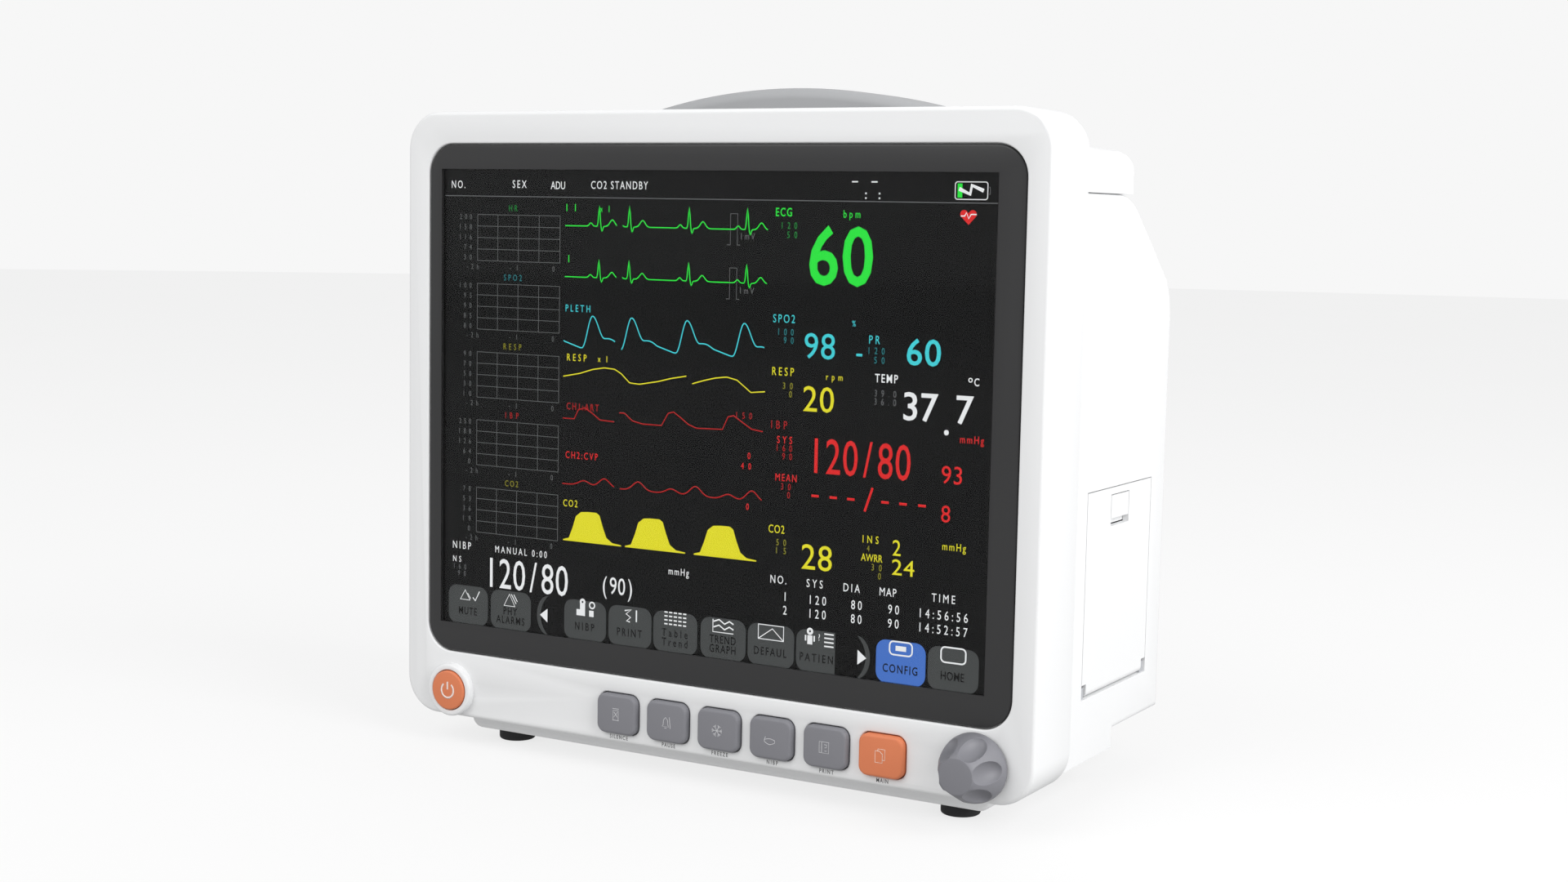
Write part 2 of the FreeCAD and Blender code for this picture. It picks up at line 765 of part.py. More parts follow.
def makeRearHousing():
    body = newBody("rear_housing")
    sketch = newSketch(body, "housing_profile", "YZ", "-side_x")
    drawPolygon(sketch, [
        ("bezel_back", "housing_low"),
        ("tail_start", "housing_low"),
        ("tail_start", "tail_low"),
        ("rear_y", "tail_low"),
        ("rear_y", "slope_end_z"),
        ("slope_start", "housing_top"),
        ("bezel_back", "housing_top"),
    ])
    pad = body.newObject("PartDesign::Pad", "housing_block")
    pad.Profile = sketch
    bind(pad, "Length", "housing_width")
    doc.recompute()
    roundEdges(body, "slope_foot", "slope_round",
               both(along("x"), lambda start, end: near(start.z, "slope_end_z")))

    def sideRear(start, end):
        sameSide = abs(start.x - end.x) < 1e-6
        behind = min(start.y, end.y) > value("bezel_back") + 1
        high = min(start.z, end.z) > value("housing_low") + 1
        return sameSide and behind and high

    def lowRear(start, end):
        return along("x")(start, end) and near(start.y, "rear_y") and near(start.z, "tail_low")
    roundEdges(body, "housing_rear_round", "housing_round",
               lambda start, end: sideRear(start, end) or lowRear(start, end))
    wall = "housing_wall"
    run, rise, length = "slope_top_depth", "slope_drop", "slope_length"
    slopeFootZ = (f"slope_end_z - {wall} * {run} / {length}"
                  f" + {wall} * (1 - {rise} / {length}) * {rise} / {run}")
    slopeHeadY = (f"slope_start - {wall} * {rise} / {length}"
                  f" + {wall} * (1 - {run} / {length}) * {run} / {rise}")
    carve(body, "housing_hollow", "YZ", "-inner_x", "inner_x", drawPolygon, [
        ("bezel_back", f"housing_low + {wall}"),
        (f"tail_start - {wall}", f"housing_low + {wall}"),
        (f"tail_start - {wall}", f"tail_low + {wall}"),
        ("inner_rear", f"tail_low + {wall}"),
        ("inner_rear", slopeFootZ),
        (slopeHeadY, f"housing_top - {wall}"),
        ("bezel_back", f"housing_top - {wall}"),
    ])
    carve(body, "recorder_opening", "YZ", "inner_x - 1", "side_x + 1", drawRectangle,
          ("bay_middle", "bay_low + bay_height / 2"), "bay_width", "bay_height")
    carve(body, "socket_opening", "YZ", "-side_x - 1", "-inner_x + 1", drawRectangle,
          ("socket_y", "socket_panel_low + socket_panel_height / 2"),
          "socket_panel_width - 6", "socket_panel_height - 6")
    carve(body, "battery_opening", "XZ", "inner_rear - 1", "rear_y + 1", drawRectangle,
          ("cell_x", "cell_low + cell_height / 2"), "cell_width", "cell_height")
    carve(body, "inlet_opening", "XZ", "inner_rear - 1", "rear_y + 1", drawRectangle,
          ("inlet_x", "inlet_z"), "inlet_width", "inlet_height")
    carve(body, "lan_opening", "XZ", "inner_rear - 1", "rear_y + 1", drawRectangle,
          ("lan_x", "inlet_z"), "lan_width", "lan_height")
    carve(body, "stud_opening", "XZ", "inner_rear - 1", "rear_y + 1", drawCircle,
          ("stud_x", "inlet_z"), "stud_shoulder + screw_clearance")
    for side in ("-1", "1"):
        tag = side.replace("-", "m")
        for level in ("low", "high"):
            spot = (side + " * post_x", f"post_{level}_z")
            carve(body, "rear_screw_hole" + tag + level, "XZ", "inner_rear - 1", "rear_y + 1",
                  drawCircle, spot, "screw_radius + screw_clearance")
            carve(body, "rear_screw_recess" + tag + level, "XZ", "rear_y - head_height",
                  "rear_y + 1", drawCircle, spot, "head_radius + 0.2")
            offset = "-" if level == "low" else "+"
            carve(body, "insert_hole" + tag + level, "XZ", "inner_rear - 1", "rear_y + 1",
                  drawCircle, (side + " * insert_spacing / 2",
                               f"insert_z {offset} insert_spacing / 2"), "insert_radius")
    slot = carve(body, "vent_slot", "XZ", "inner_rear - 1", "rear_y + 1", drawRectangle,
                 ("vent_x", "vent_low"), "vent_width", "vent_height")
    pattern = body.newObject("PartDesign::LinearPattern", "vent_slots")
    pattern.Originals = [slot]
    pattern.Direction = (slot.Profile[0], ["V_Axis"])
    bind(pattern, "Length", "vent_pitch * (vent_count - 1)")
    bind(pattern, "Occurrences", "vent_count")
    body.Tip = pattern
    doc.recompute()
    if body.Shape.Volume > slot.Shape.Volume - 1:
        raise RuntimeError("the vent pattern removed nothing")


def makeTopCover():
    body = newBody("top_cover")
    front = "bezel_back"
    rear = "bezel_back + shoulder_depth"
    sketch = newSketch(body, "cover_profile", "XZ", rear)
    drawPolygon(sketch, [
        ("-side_x", "housing_top"),
        ("side_x", "housing_top"),
        ("side_x", "cover_top"),
        ("shoulder_inner", "cover_top"),
        ("shoulder_inner", "housing_top + web_thick"),
        ("-shoulder_inner", "housing_top + web_thick"),
        ("-shoulder_inner", "cover_top"),
        ("-side_x", "cover_top"),
    ])
    pad = body.newObject("PartDesign::Pad", "cover_block")
    pad.Profile = sketch
    bind(pad, "Length", "shoulder_depth")
    doc.recompute()

    def outerTop(start, end):
        high = near(start.z, "cover_top") and near(end.z, "cover_top")
        atRear = near(start.y, rear) and near(end.y, rear)
        atSide = abs(abs(start.x) - value("side_x")) < 0.01
        return high and (atRear or (atSide and along("y")(start, end)))
    roundEdges(body, "cover_round", "shoulder_round", outerTop)
    for side in ("-1", "1"):
        tag = side.replace("-", "m")
        middle = f"{side} * (side_x - shoulder_width / 2)"
        carve(body, "shoulder_hollow" + tag, "XY", "housing_top",
              "cover_top - shoulder_round", drawRectangle,
              (middle, front + " + shoulder_depth / 2"),
              "shoulder_width - 2 * shoulder_wall", "shoulder_depth - 2 * shoulder_wall")
        for row in ("-1", "1"):
            carve(body, "handle_hole" + tag + row.replace("-", "m"), "XY",
                  "cover_top - shoulder_round - 1", "cover_top + 1", drawCircle,
                  (side + " * handle_screw_x",
                   f"handle_y + handle_depth / 2 + {row} * handle_depth / 4"),
                  "handle_screw_radius + screw_clearance")


def drawHandle(sketch):
    """The arch: an outer and an inner arc that meet the shoulder tops."""
    arcs = (("handle_half", "(handle_top - cover_top)"),
            ("shoulder_inner", "(handle_top - handle_thick - cover_top)"))
    for half, rise in arcs:
        radius = f"(({half} ^ 2 + {rise} ^ 2) / (2 * {rise}))"
        centre = FreeCAD.Vector(0, value(f"cover_top + {rise} - {radius}"), 0)
        circle = Part.Circle(centre, FreeCAD.Vector(0, 0, 1), value(radius))
        start = math.acos(value(f"{half} / {radius}"))
        arc = sketch.addGeometry(Part.ArcOfCircle(circle, start, math.pi - start))
        # the arc runs anticlockwise, so its point 1 is the right-hand end
        pin(sketch, arc, 1, half, "cover_top")
        pin(sketch, arc, 2, "-" + half, "cover_top")
        limit = sketch.addConstraint(Sketcher.Constraint("Radius", arc, value(radius)))
        bind(sketch, f"Constraints[{limit}]", radius)
    level = value("cover_top")
    outer, inner = value("handle_half"), value("shoulder_inner")
    for point, side in ((1, 1), (2, -1)):
        first = FreeCAD.Vector(side * outer, level, 0)
        last = FreeCAD.Vector(side * inner, level, 0)
        line = sketch.addGeometry(Part.LineSegment(first, last))
        sketch.addConstraint(Sketcher.Constraint("Coincident", line, 1, 0, point))
        sketch.addConstraint(Sketcher.Constraint("Coincident", line, 2, 1, point))


def makeHandle():
    body = newBody("carry_handle")
    extrude(body, "handle_arch", "XZ", "handle_y", "handle_y + handle_depth", drawHandle)

    def longEdge(start, end):
        inPlane = near(start.y, "handle_y") or near(start.y, "handle_y + handle_depth")
        sameY = abs(start.y - end.y) < 1e-6
        spans = start.x * end.x < 0
        return inPlane and sameY and spans
    roundEdges(body, "handle_round_edges", "handle_round", longEdge)
    screws = []
    for side in ("-1", "1"):
        for row in ("-1", "1"):
            tag = (side + row).replace("-", "m")
            spot = (side + " * handle_screw_x",
                    f"handle_y + handle_depth / 2 + {row} * handle_depth / 4")
            carve(body, "handle_pilot" + tag, "XY", "cover_top - 0.01", "cover_top + 5",
                  drawCircle, spot, "handle_screw_radius + screw_clearance")
            seat = "cover_top - shoulder_round"
            shank = rod("handle_shank" + tag, "z", spot, seat + " - 0.1", "cover_top + 4.6",
                        "handle_screw_radius")
            head = rod("handle_head" + tag, "z", spot, seat + " - head_height - 0.5", seat,
                       "head_radius + 0.6")
            screws.append(fuse("handle_screw" + tag, shank, head))
    node(group("handle_screws", *screws), "handle_screws")


def makeBase():
    body = newBody("base_rail")
    start = "front_y + rail_start"
    sketch = newSketch(body, "rail_profile", "YZ", "-rail_width / 2")
    drawPolygon(sketch, [
        (start, "rail_low"),
        (start + " + rail_depth", "rail_low"),
        (start + " + rail_depth", "housing_low"),
        ("bezel_back", "housing_low"),
        ("bezel_back", "bezel_low"),
        (start, "bezel_low"),
    ])
    pad = body.newObject("PartDesign::Pad", "rail_block")
    pad.Profile = sketch
    bind(pad, "Length", "rail_width")
    doc.recompute()
    roundEdges(body, "rail_low_ends", "rail_corner",
               both(along("y"), lambda start, end: near(start.z, "rail_low")))
    feet = []
    for index, side in enumerate(("-1", "1")):
        for row in ("front", "rear"):
            spot = (side + " * foot_x", f"front_y + foot_{row}")
            carve(body, f"foot_seat{index}{row}", "XY", "rail_low - 1", "rail_low + foot_seat",
                  drawCircle, spot, "foot_radius + 0.1")
            feet.append(rod(f"foot{index}{row}", "z", spot, "0", "rail_low + foot_seat",
                            "foot_radius"))
    node(group("rubber_feet", *feet), "rubber_feet")


# ---------- chassis and fasteners ----------

def makeChassis():
    plate = box("chassis_plate", ("-chassis_width / 2", "chassis_width / 2"),
                ("chassis_front", "chassis_back"), ("chassis_low", "chassis_low + chassis_height"))
    posts = []
    bores = []
    screws = []
    for index, side in enumerate(("-1", "1")):
        for level in ("low", "high"):
            spot = (side + " * post_x", f"post_{level}_z")
            tag = f"{index}{level}"
            posts.append(rod("post" + tag, "y", spot, "chassis_back - 0.5", "inner_rear",
                             "post_radius"))
            bores.append(rod("post_bore" + tag, "y", spot, "inner_rear - screw_length - 1",
                             "inner_rear + 1", "screw_radius + screw_clearance"))
            shank = rod("rear_shank" + tag, "y", spot, "inner_rear - screw_length",
                        "rear_y - head_height / 2", "screw_radius")
            head = rod("rear_head" + tag, "y", spot, "rear_y - head_height", "rear_y",
                       "head_radius")
            screws.append(fuse("rear_screw" + tag, shank, head))
    node(cut("chassis", fuse("chassis_solid", plate, *posts), *bores), "chassis")
    return screws


def makeInserts():
    inserts = []
    for index, side in enumerate(("-1", "1")):
        for level in ("-1", "1"):
            spot = (side + " * insert_spacing / 2", f"insert_z + {level} * insert_spacing / 2")
            tag = f"{index}{level.replace('-', 'm')}"
            barrel = rod("insert_barrel" + tag, "y", spot, "rear_y - insert_length", "rear_y",
                         "insert_radius")
            thread = rod("insert_thread" + tag, "y", spot, "rear_y - insert_length - 1",
                         "rear_y + 1", "insert_bore")
            inserts.append(cut("insert" + tag, barrel, thread))
    node(group("mounting_inserts", *inserts), "mounting_inserts")


# ---------- hinged doors: one opens towards +X, the other towards +Y ----------

def flapBox(name, outward, across, out, up):
    if outward == "x":
        return box(name, out, across, up)
    return box(name, across, out, up)


def flapRod(name, outward, out, up, low, high, radius):
    return rod(name, "y" if outward == "x" else "x", (out, up), low, high, radius)


def makeTub(label, flap):
    """An open tub behind the wall, with two lugs that hold the door's hinge pin."""
    outward, low, high = flap["outward"], flap["low"], flap["high"]
    floor, top, face = flap["floor"], flap["top"], flap["face"]
    wall = "tub_wall"
    deep = f"{face} - {flap['reach']}"
    outer = flapBox(label + "_outer", outward, (f"{low} - {wall}", f"{high} + {wall}"),
                    (deep, face), (f"{floor} - {wall}", f"{top} + {wall}"))
    inner = flapBox(label + "_inner", outward, (low, high), (f"{deep} + {wall}", f"{face} + 1"),
                    (floor, top))
    pinOut, pinUp = flap["pin"]
    lugs = []
    bores = []
    for index, (start, end) in enumerate(((low, f"{low} + lug_thick"),
                                          (f"{high} - lug_thick", high))):
        lugs.append(flapBox(f"{label}_lug{index}", outward, (start, end),
                            (f"{face} - 5", f"{pinOut} + hinge_pin_radius + lug_wall"),
                            (floor, f"{pinUp} + hinge_pin_radius + lug_wall")))
        bores.append(flapRod(f"{label}_lug_bore{index}", outward, pinOut, pinUp,
                             f"{start} - 0.01", f"{end} + 0.01",
                             "hinge_pin_radius + hinge_clearance"))
    shell = cut(label + "_shell", outer, inner)
    return cut(label, fuse(label, shell, *lugs), *bores)


def makeHingePin(label, flap):
    node(flapRod(label + "_rod", flap["outward"], *flap["pin"], f"{flap['low']} + 0.5",
                 f"{flap['high']} - 0.5", "hinge_pin_radius"), label)


def makeFlap(label, flap):
    """The door leaf with its hinge barrel; returned so that more can be joined to it."""
    outward, low, high = flap["outward"], flap["low"], flap["high"]
    pinOut, pinUp = flap["pin"]
    outer = f"{pinOut} + hinge_radius"
    lugTop = f"{pinUp} + hinge_pin_radius + lug_wall + 1.4"
    barrelLow = f"{low} + lug_thick + door_gap"
    barrelHigh = f"{high} - lug_thick - door_gap"
    leaf = flapBox(label + "_leaf", outward, (f"{low} + door_gap", f"{high} - door_gap"),
                   (f"{outer} - door_thick", outer), (lugTop, f"{flap['top']} - door_gap"))
    web = flapBox(label + "_web", outward, (barrelLow, barrelHigh),
                  (f"{outer} - door_thick", outer), (pinUp, lugTop + " + 0.1"))
    barrel = flapRod(label + "_barrel", outward, pinOut, pinUp, barrelLow, barrelHigh,
                     "hinge_radius")
    bore = flapRod(label + "_bore", outward, pinOut, pinUp, barrelLow + " - 1",
                   barrelHigh + " + 1", "hinge_pin_radius + hinge_clearance")
    return [leaf, web, barrel], bore


recorderFlap = {
    "outward": "x", "low": "bay_y", "high": "(bay_y + bay_width)", "floor": "bay_low",
    "top": "bay_top", "face": "inner_x", "reach": "bay_reach", "pin": ("hinge_x", "hinge_z"),
}
batteryFlap = {
    "outward": "y", "low": "cell_left", "high": "(cell_left + cell_width)",
    "floor": "cell_low", "top": "cell_top", "face": "inner_rear", "reach": "cell_reach",
    "pin": ("cell_hinge_y", "cell_hinge_z"),
}


def makeRecorder():
    node(makeTub("recorder_frame", recorderFlap), "recorder_frame")
    makeHingePin("recorder_hinge_pin", recorderFlap)
    inside = "side_x - door_thick"
    solids, bore = makeFlap("recorder_door", recorderFlap)
    tools = [bore]
    for index, side in enumerate(("-1", "1")):
        nearEnd = "platen_length / 2 + arm_gap"
        farEnd = nearEnd + " + arm_thick"
        ends = (farEnd, nearEnd) if side == "-1" else (nearEnd, farEnd)
        across = tuple(f"bay_middle + {side} * ({end})" for end in ends)
        solids.append(box(f"platen_arm{index}", ("platen_x - arm_width / 2", inside + " + 0.1"),
                          across, ("platen_z - arm_width / 2", "platen_z + arm_width / 2")))
        tools.append(rod(f"platen_bore{index}", "y", ("platen_x", "platen_z"),
                         across[0] + " - 0.01", across[1] + " + 0.01",
                         "axle_radius + hinge_clearance"))
    tools.append(box("latch_slot", (inside + " - 1", "side_x + 1"),
                     ("bay_middle - latch_width / 2 - door_gap",
                      "bay_middle + latch_width / 2 + door_gap"),
                     ("latch_top - latch_height - latch_travel - door_gap",
                      "latch_top + door_gap")))
    node(cut("recorder_door", fuse("recorder_door", *solids), *tools), "recorder_door")

    thumb = box("latch_thumb", (inside + " - 0.3", "side_x"),
                ("bay_middle - latch_width / 2", "bay_middle + latch_width / 2"),
                ("latch_top - latch_height", "latch_top"))
    plate = box("latch_plate", (inside + " - 0.2 - latch_thick", inside + " - 0.2"),
                ("bay_middle - latch_width / 2 - latch_flange",
                 "bay_middle + latch_width / 2 + latch_flange"),
                ("latch_top - latch_height - latch_hook", "bay_top - 0.3"))
    node(fuse("door_latch", thumb, plate), "door_latch")

    reach = "platen_length / 2 + arm_gap + arm_thick"
    rubber = rod("platen_rubber", "y", ("platen_x", "platen_z"),
                 "bay_middle - platen_length / 2", "bay_middle + platen_length / 2",
                 "platen_radius")
    axle = rod("platen_axle", "y", ("platen_x", "platen_z"), f"bay_middle - ({reach})",
               f"bay_middle + {reach}", "axle_radius")
    node(fuse("platen_roller", rubber, axle), "platen_roller")

    headBack = "platen_x - platen_radius - head_gap - head_thick"
    edge = box("head_edge", (headBack, headBack + " + head_thick"),
               ("bay_middle - roll_length / 2", "bay_middle + roll_length / 2"),
               ("platen_z - head_rise / 2", "platen_z + head_rise / 2"))
    shelf = box("head_shelf", ("inner_x - bay_reach + tub_wall", headBack + " + 0.1"),
                ("bay_middle - roll_length / 2", "bay_middle + roll_length / 2"),
                ("platen_z + head_rise / 2 - 2", "platen_z + head_rise / 2"))
    node(fuse("thermal_head", edge, shelf), "thermal_head")

    paper = rod("roll_paper", "y", ("roll_x", "roll_z"), "bay_middle - roll_length / 2",
                "bay_middle + roll_length / 2", "roll_radius")
    core = rod("roll_core", "y", ("roll_x", "roll_z"), "bay_middle - roll_length",
               "bay_middle + roll_length", "roll_core")
    node(cut("paper_roll", paper, core), "paper_roll")


def makeBattery():
    node(makeTub("battery_tray", batteryFlap), "battery_tray")
    makeHingePin("battery_hinge_pin", batteryFlap)
    solids, bore = makeFlap("battery_door", batteryFlap)
    node(cut("battery_door", fuse("battery_door", *solids), bore), "battery_door")
    node(box("battery_block", ("cell_left + pack_gap", "cell_left + cell_width - pack_gap"),
             ("inner_rear - cell_reach + tub_wall", "inner_rear - cell_reach + tub_wall + pack_thick"),
             ("cell_low", "cell_top - pack_gap")), "battery_pack")


# ---------- sockets ----------

socketSpots = {
    "ecg_socket": (("0", "146"),),
    "spo2_socket": (("0", "117"),),
    "ibp_sockets": (("-1", "91"), ("1", "91")),
    "temp_sockets": (("-1", "66"), ("1", "66")),
    "nibp_port": (("0", "40"),),
    "co2_port": (("0", "15"),),
}
socketRadii = {
    "ecg_socket": ("10", "7.5"),
    "spo2_socket": ("8.5", "6"),
    "ibp_sockets": ("8", "5.5"),
    "temp_sockets": ("6.5", "3.2"),
    "nibp_port": ("7.5", "4"),
    "co2_port": ("7", "4.5"),
}


def makeSockets():
    plate = box("socket_plate", ("-inner_x", "-inner_x + socket_panel_thick"),
                ("socket_y - socket_panel_width / 2", "socket_y + socket_panel_width / 2"),
                ("socket_panel_low", "socket_panel_low + socket_panel_height"))
    holes = []
    for label, spots in socketSpots.items():
        outer, bore = socketRadii[label]
        made = []
        for index, (side, rise) in enumerate(spots):
            spot = (f"socket_y + {side} * socket_spread", f"socket_panel_low + {rise}")
            tag = f"{label}{index}"
            barrel = rod(tag + "_barrel", "x", spot, "-side_x", "-inner_x + socket_reach", outer)
            collar = rod(tag + "_collar", "x", spot, "-inner_x - 1.2", "-inner_x",
                         outer + " + 1.5")
            hollow = rod(tag + "_hollow", "x", spot, "-side_x - 1",
                         "-inner_x + socket_reach - socket_floor", bore)
            made.append(cut(tag, fuse(tag, barrel, collar), hollow))
            holes.append(rod(tag + "_hole", "x", spot, "-inner_x - 1",
                             "-inner_x + socket_panel_thick + 1", outer + " + screw_clearance"))
        node(group(label, *made) if len(made) > 1 else made[0], label)
    node(cut("socket_panel", plate, *holes), "socket_panel")


def makeRearSockets():
    block = box("inlet_block", ("inlet_x - inlet_width / 2", "inlet_x + inlet_width / 2"),
                ("rear_y - inlet_reach", "rear_y"),
                ("inlet_z - inlet_height / 2", "inlet_z + inlet_height / 2"))
    mouth = box("inlet_mouth",
                ("inlet_x - inlet_mouth_width / 2", "inlet_x + inlet_mouth_width / 2"),
                ("rear_y - inlet_mouth_depth", "rear_y + 1"),
                ("inlet_z - inlet_mouth_height / 2", "inlet_z + inlet_mouth_height / 2"))
    blades = []
    for index, (across, up) in enumerate((("-blade_spread", "-blade_rise"), ("0", "blade_rise"),
                                          ("blade_spread", "-blade_rise"))):
        blades.append(box(f"blade{index}",
                          (f"inlet_x + {across} - blade_width / 2",
                           f"inlet_x + {across} + blade_width / 2"),
                          ("rear_y - inlet_mouth_depth - 1",
                           "rear_y - inlet_mouth_depth + blade_length"),
                          (f"inlet_z + {up} - blade_height / 2",
                           f"inlet_z + {up} + blade_height / 2")))
    shell = cut("inlet_shell", block, mouth)
    node(fuse("ac_inlet", shell, *blades), "ac_inlet")
    jack = box("lan_block", ("lan_x - lan_width / 2", "lan_x + lan_width / 2"),
               ("rear_y - lan_reach", "rear_y"),
               ("inlet_z - lan_height / 2", "inlet_z + lan_height / 2"))
    hollow = box("lan_hollow", ("lan_x - lan_width / 2 + 2", "lan_x + lan_width / 2 - 2"),
                 ("rear_y - lan_reach + 3", "rear_y + 1"),
                 ("inlet_z - lan_height / 2 + 2.5", "inlet_z + lan_height / 2 - 2.5"))
    node(cut("lan_port", jack, hollow), "lan_port")
    shank = rod("stud_shank", "y", ("stud_x", "inlet_z"), "inner_rear - stud_inside", "rear_y",
                "stud_shoulder")
    pin = rod("stud_pin", "y", ("stud_x", "inlet_z"), "rear_y", "rear_y + stud_proud",
              "stud_radius")
    nut = rod("stud_nut", "y", ("stud_x", "inlet_z"), "inner_rear - stud_nut", "inner_rear",
              "2 * stud_radius")
    node(fuse("ground_stud", shank, pin, nut), "ground_stud")


# ---------- inner parts ----------

def makeBoards():
    back = "chassis_front - standoff"
    node(box("main_board_box", ("-main_board_width / 2", "main_board_width / 2"),
             (back + " - board_thick", back),
             ("main_board_low", "main_board_low + main_board_height")), "main_board")
    sideFront = "chassis_back + standoff"
    sideBack = sideFront + " + board_thick"
    plate = box("parameter_board_box",
                ("side_board_x - side_board_width / 2", "side_board_x + side_board_width / 2"),
                (sideFront, sideBack), ("side_board_low", "side_board_low + side_board_height"))
    passage = rod("post_passage", "y", ("-post_x", "post_high_z"), sideFront + " - 1",
                  sideBack + " + 1", "post_radius + 1")
    node(cut("parameter_board", plate, passage), "parameter_board")
    standoffs = []
    for index, (side, up) in enumerate((("-1", "-1"), ("1", "-1"), ("-1", "1"), ("1", "1"))):
        mainZ = f"main_board_low + main_board_height / 2 + {up} * (main_board_height / 2 - board_inset)"
        sideZ = f"side_board_low + side_board_height / 2 + {up} * (side_board_height / 2 - board_inset)"
        standoffs.append(rod(f"main_standoff{index}", "y",
                             (f"{side} * (main_board_width / 2 - board_inset)", mainZ),
                             back, "chassis_front", "standoff_radius"))
        standoffs.append(rod(f"side_standoff{index}", "y",
                             (f"side_board_x + {side} * (side_board_width / 2 - board_inset)",
                              sideZ),
                             "chassis_back", sideFront, "standoff_radius"))
    node(group("board_standoffs", *standoffs), "board_standoffs")
    front = back + " - board_thick"
    tall = ("sink_low", "sink_low + sink_height")
    base = box("sink_base", ("-sink_width / 2", "sink_width / 2"), (front + " - sink_base", front),
               tall)
    fins = []
    for index in range(8):
        low = f"-sink_width / 2 + {index} * fin_pitch"
        fins.append(box(f"sink_fin{index}", (low, low + " + fin_thick"),
                        (front + " - sink_reach", front + " - sink_base / 2"), tall))
    node(fuse("heat_sink", base, *fins), "heat_sink")
    plugs = []
    for index in range(4):
        low = f"main_plug_left + {index} * main_plug_pitch"
        plugs.append(box(f"main_plug{index}", (low, low + " + main_plug_length"),
                         (front + " - plug_reach", front),
                         ("main_board_low + plug_inset", "main_board_low + plug_inset + plug_height")))
    for index in range(3):
        low = f"side_board_low + side_plug_rise + {index} * side_plug_pitch"
        edge = "side_board_x - side_board_width / 2 + plug_inset"
        plugs.append(box(f"side_plug{index}", (edge, edge + " + plug_height"),
                         (sideBack, sideBack + " + plug_reach"), (low, low + " + side_plug_length")))
    node(group("board_connectors", *plugs), "board_connectors")


def makePneumatics():
    barrel = rod("pump_barrel", "x", ("pump_y", "pump_z"), "pump_x - pump_length / 2",
                 "pump_x + pump_length / 2", "pump_radius")
    nipple = rod("pump_nipple", "x", ("pump_y", "pump_z"),
                 "pump_x - pump_length / 2 - nipple_length", "pump_x - pump_length / 2 + 1",
                 "tube_radius")
    node(fuse("nibp_pump", barrel, nipple), "nibp_pump")
    valves = []
    for index in range(2):
        x = f"pump_x + pump_length / 2 + valve_gap + {index} * valve_pitch"
        valves.append(rod(f"valve{index}", "z", (x, "chassis_back + valve_radius"),
                          "pump_z - valve_length / 2", "pump_z + valve_length / 2",
                          "valve_radius"))
    node(group("nibp_valves", *valves), "nibp_valves")
    tube = node(doc.addObject("Part::Feature", "air_tube_shape"), "air_tube")
    tube.Shape = tubeAlong([
        ("pump_x - pump_length / 2 - nipple_length", "pump_y", "pump_z"),
        ("cell_left + cell_width + tube_side", "pump_y", "pump_z"),
        ("cell_left + cell_width + tube_side", "socket_y", "pump_z"),
        ("cell_left + cell_width + tube_side", "socket_y", "port_z"),
        ("-inner_x + socket_reach", "socket_y", "port_z"),
    ], value("tube_bend"))
    tube.Placement = FreeCAD.Placement()


def tubeAlong(corners, bend):
    # straight runs joined by round bends, swept with a ring
    points = [FreeCAD.Vector(*(value(text) for text in corner)) for corner in corners]
    edges = []
    start = points[0]
    for index in range(1, len(points) - 1):
        corner = points[index]
        before = (points[index - 1] - corner).normalize()
        after = (points[index + 1] - corner).normalize()
        first = corner + before * bend
        last = corner + after * bend
        centre = corner + (before + after) * bend
        middle = centre + (corner - centre).normalize() * bend
        edges.append(Part.makeLine(start, first))
        edges.append(Part.Arc(first, middle, last).toShape())
        start = last
    edges.append(Part.makeLine(start, points[-1]))
    path = Part.Wire(edges)
    heading = (points[1] - points[0]).normalize()
    solids = []
    for radius in (value("tube_radius"), value("tube_bore")):
        ring = Part.Wire(Part.makeCircle(radius, points[0], heading))
        solids.append(path.makePipeShell([ring], True, False))
    return solids[0].cut(solids[1])


def makePowerParts():
    node(box("supply_block", ("-supply_width / 2", "supply_width / 2"),
             ("chassis_back", "supply_back"), ("supply_low", "supply_low + supply_height")),
         "power_supply")
    spot = ("speaker_x", "speaker_z")
    can = rod("speaker_can", "y", spot, "chassis_back", "chassis_back + speaker_thick",
              "speaker_radius")
    dish = rod("speaker_dish", "y", spot, "chassis_back + speaker_thick - dish_depth",
               "chassis_back + speaker_thick + 1", "speaker_radius - dish_rim")
    node(cut("speaker", can, dish), "speaker")


makeBezel()
makeGlass()
makeDisplay()
for position, keyName in enumerate(keyNames):
    makeKey(position, keyName)
makeKeyBoard()
makePower()
makeKnob()
makeRearHousing()
makeTopCover()
makeHandle()
makeBase()
node(group("housing_screws", *makeChassis()), "housing_screws")
makeInserts()
makeRecorder()
makeBattery()
makeSockets()
makeRearSockets()
makeBoards()
makePneumatics()
makePowerParts()
doc.recompute()

for item in doc.Objects:
    if "Invalid" in item.State or "Error" in item.State:
        raise RuntimeError(f"{item.Label} did not build: {item.State}")
for item in nodes:
    if item.Shape.isNull() or not item.Shape.isValid():
        raise RuntimeError(f"{item.Label} has no valid shape")

os.makedirs("parts", exist_ok=True)
for item in nodes:
    item.Shape.exportStep(os.path.join("parts", item.Label + ".step"))
print(len(nodes), "nodes written")
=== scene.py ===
import json
import math

import bmesh
import bpy
from mathutils import Matrix, Vector


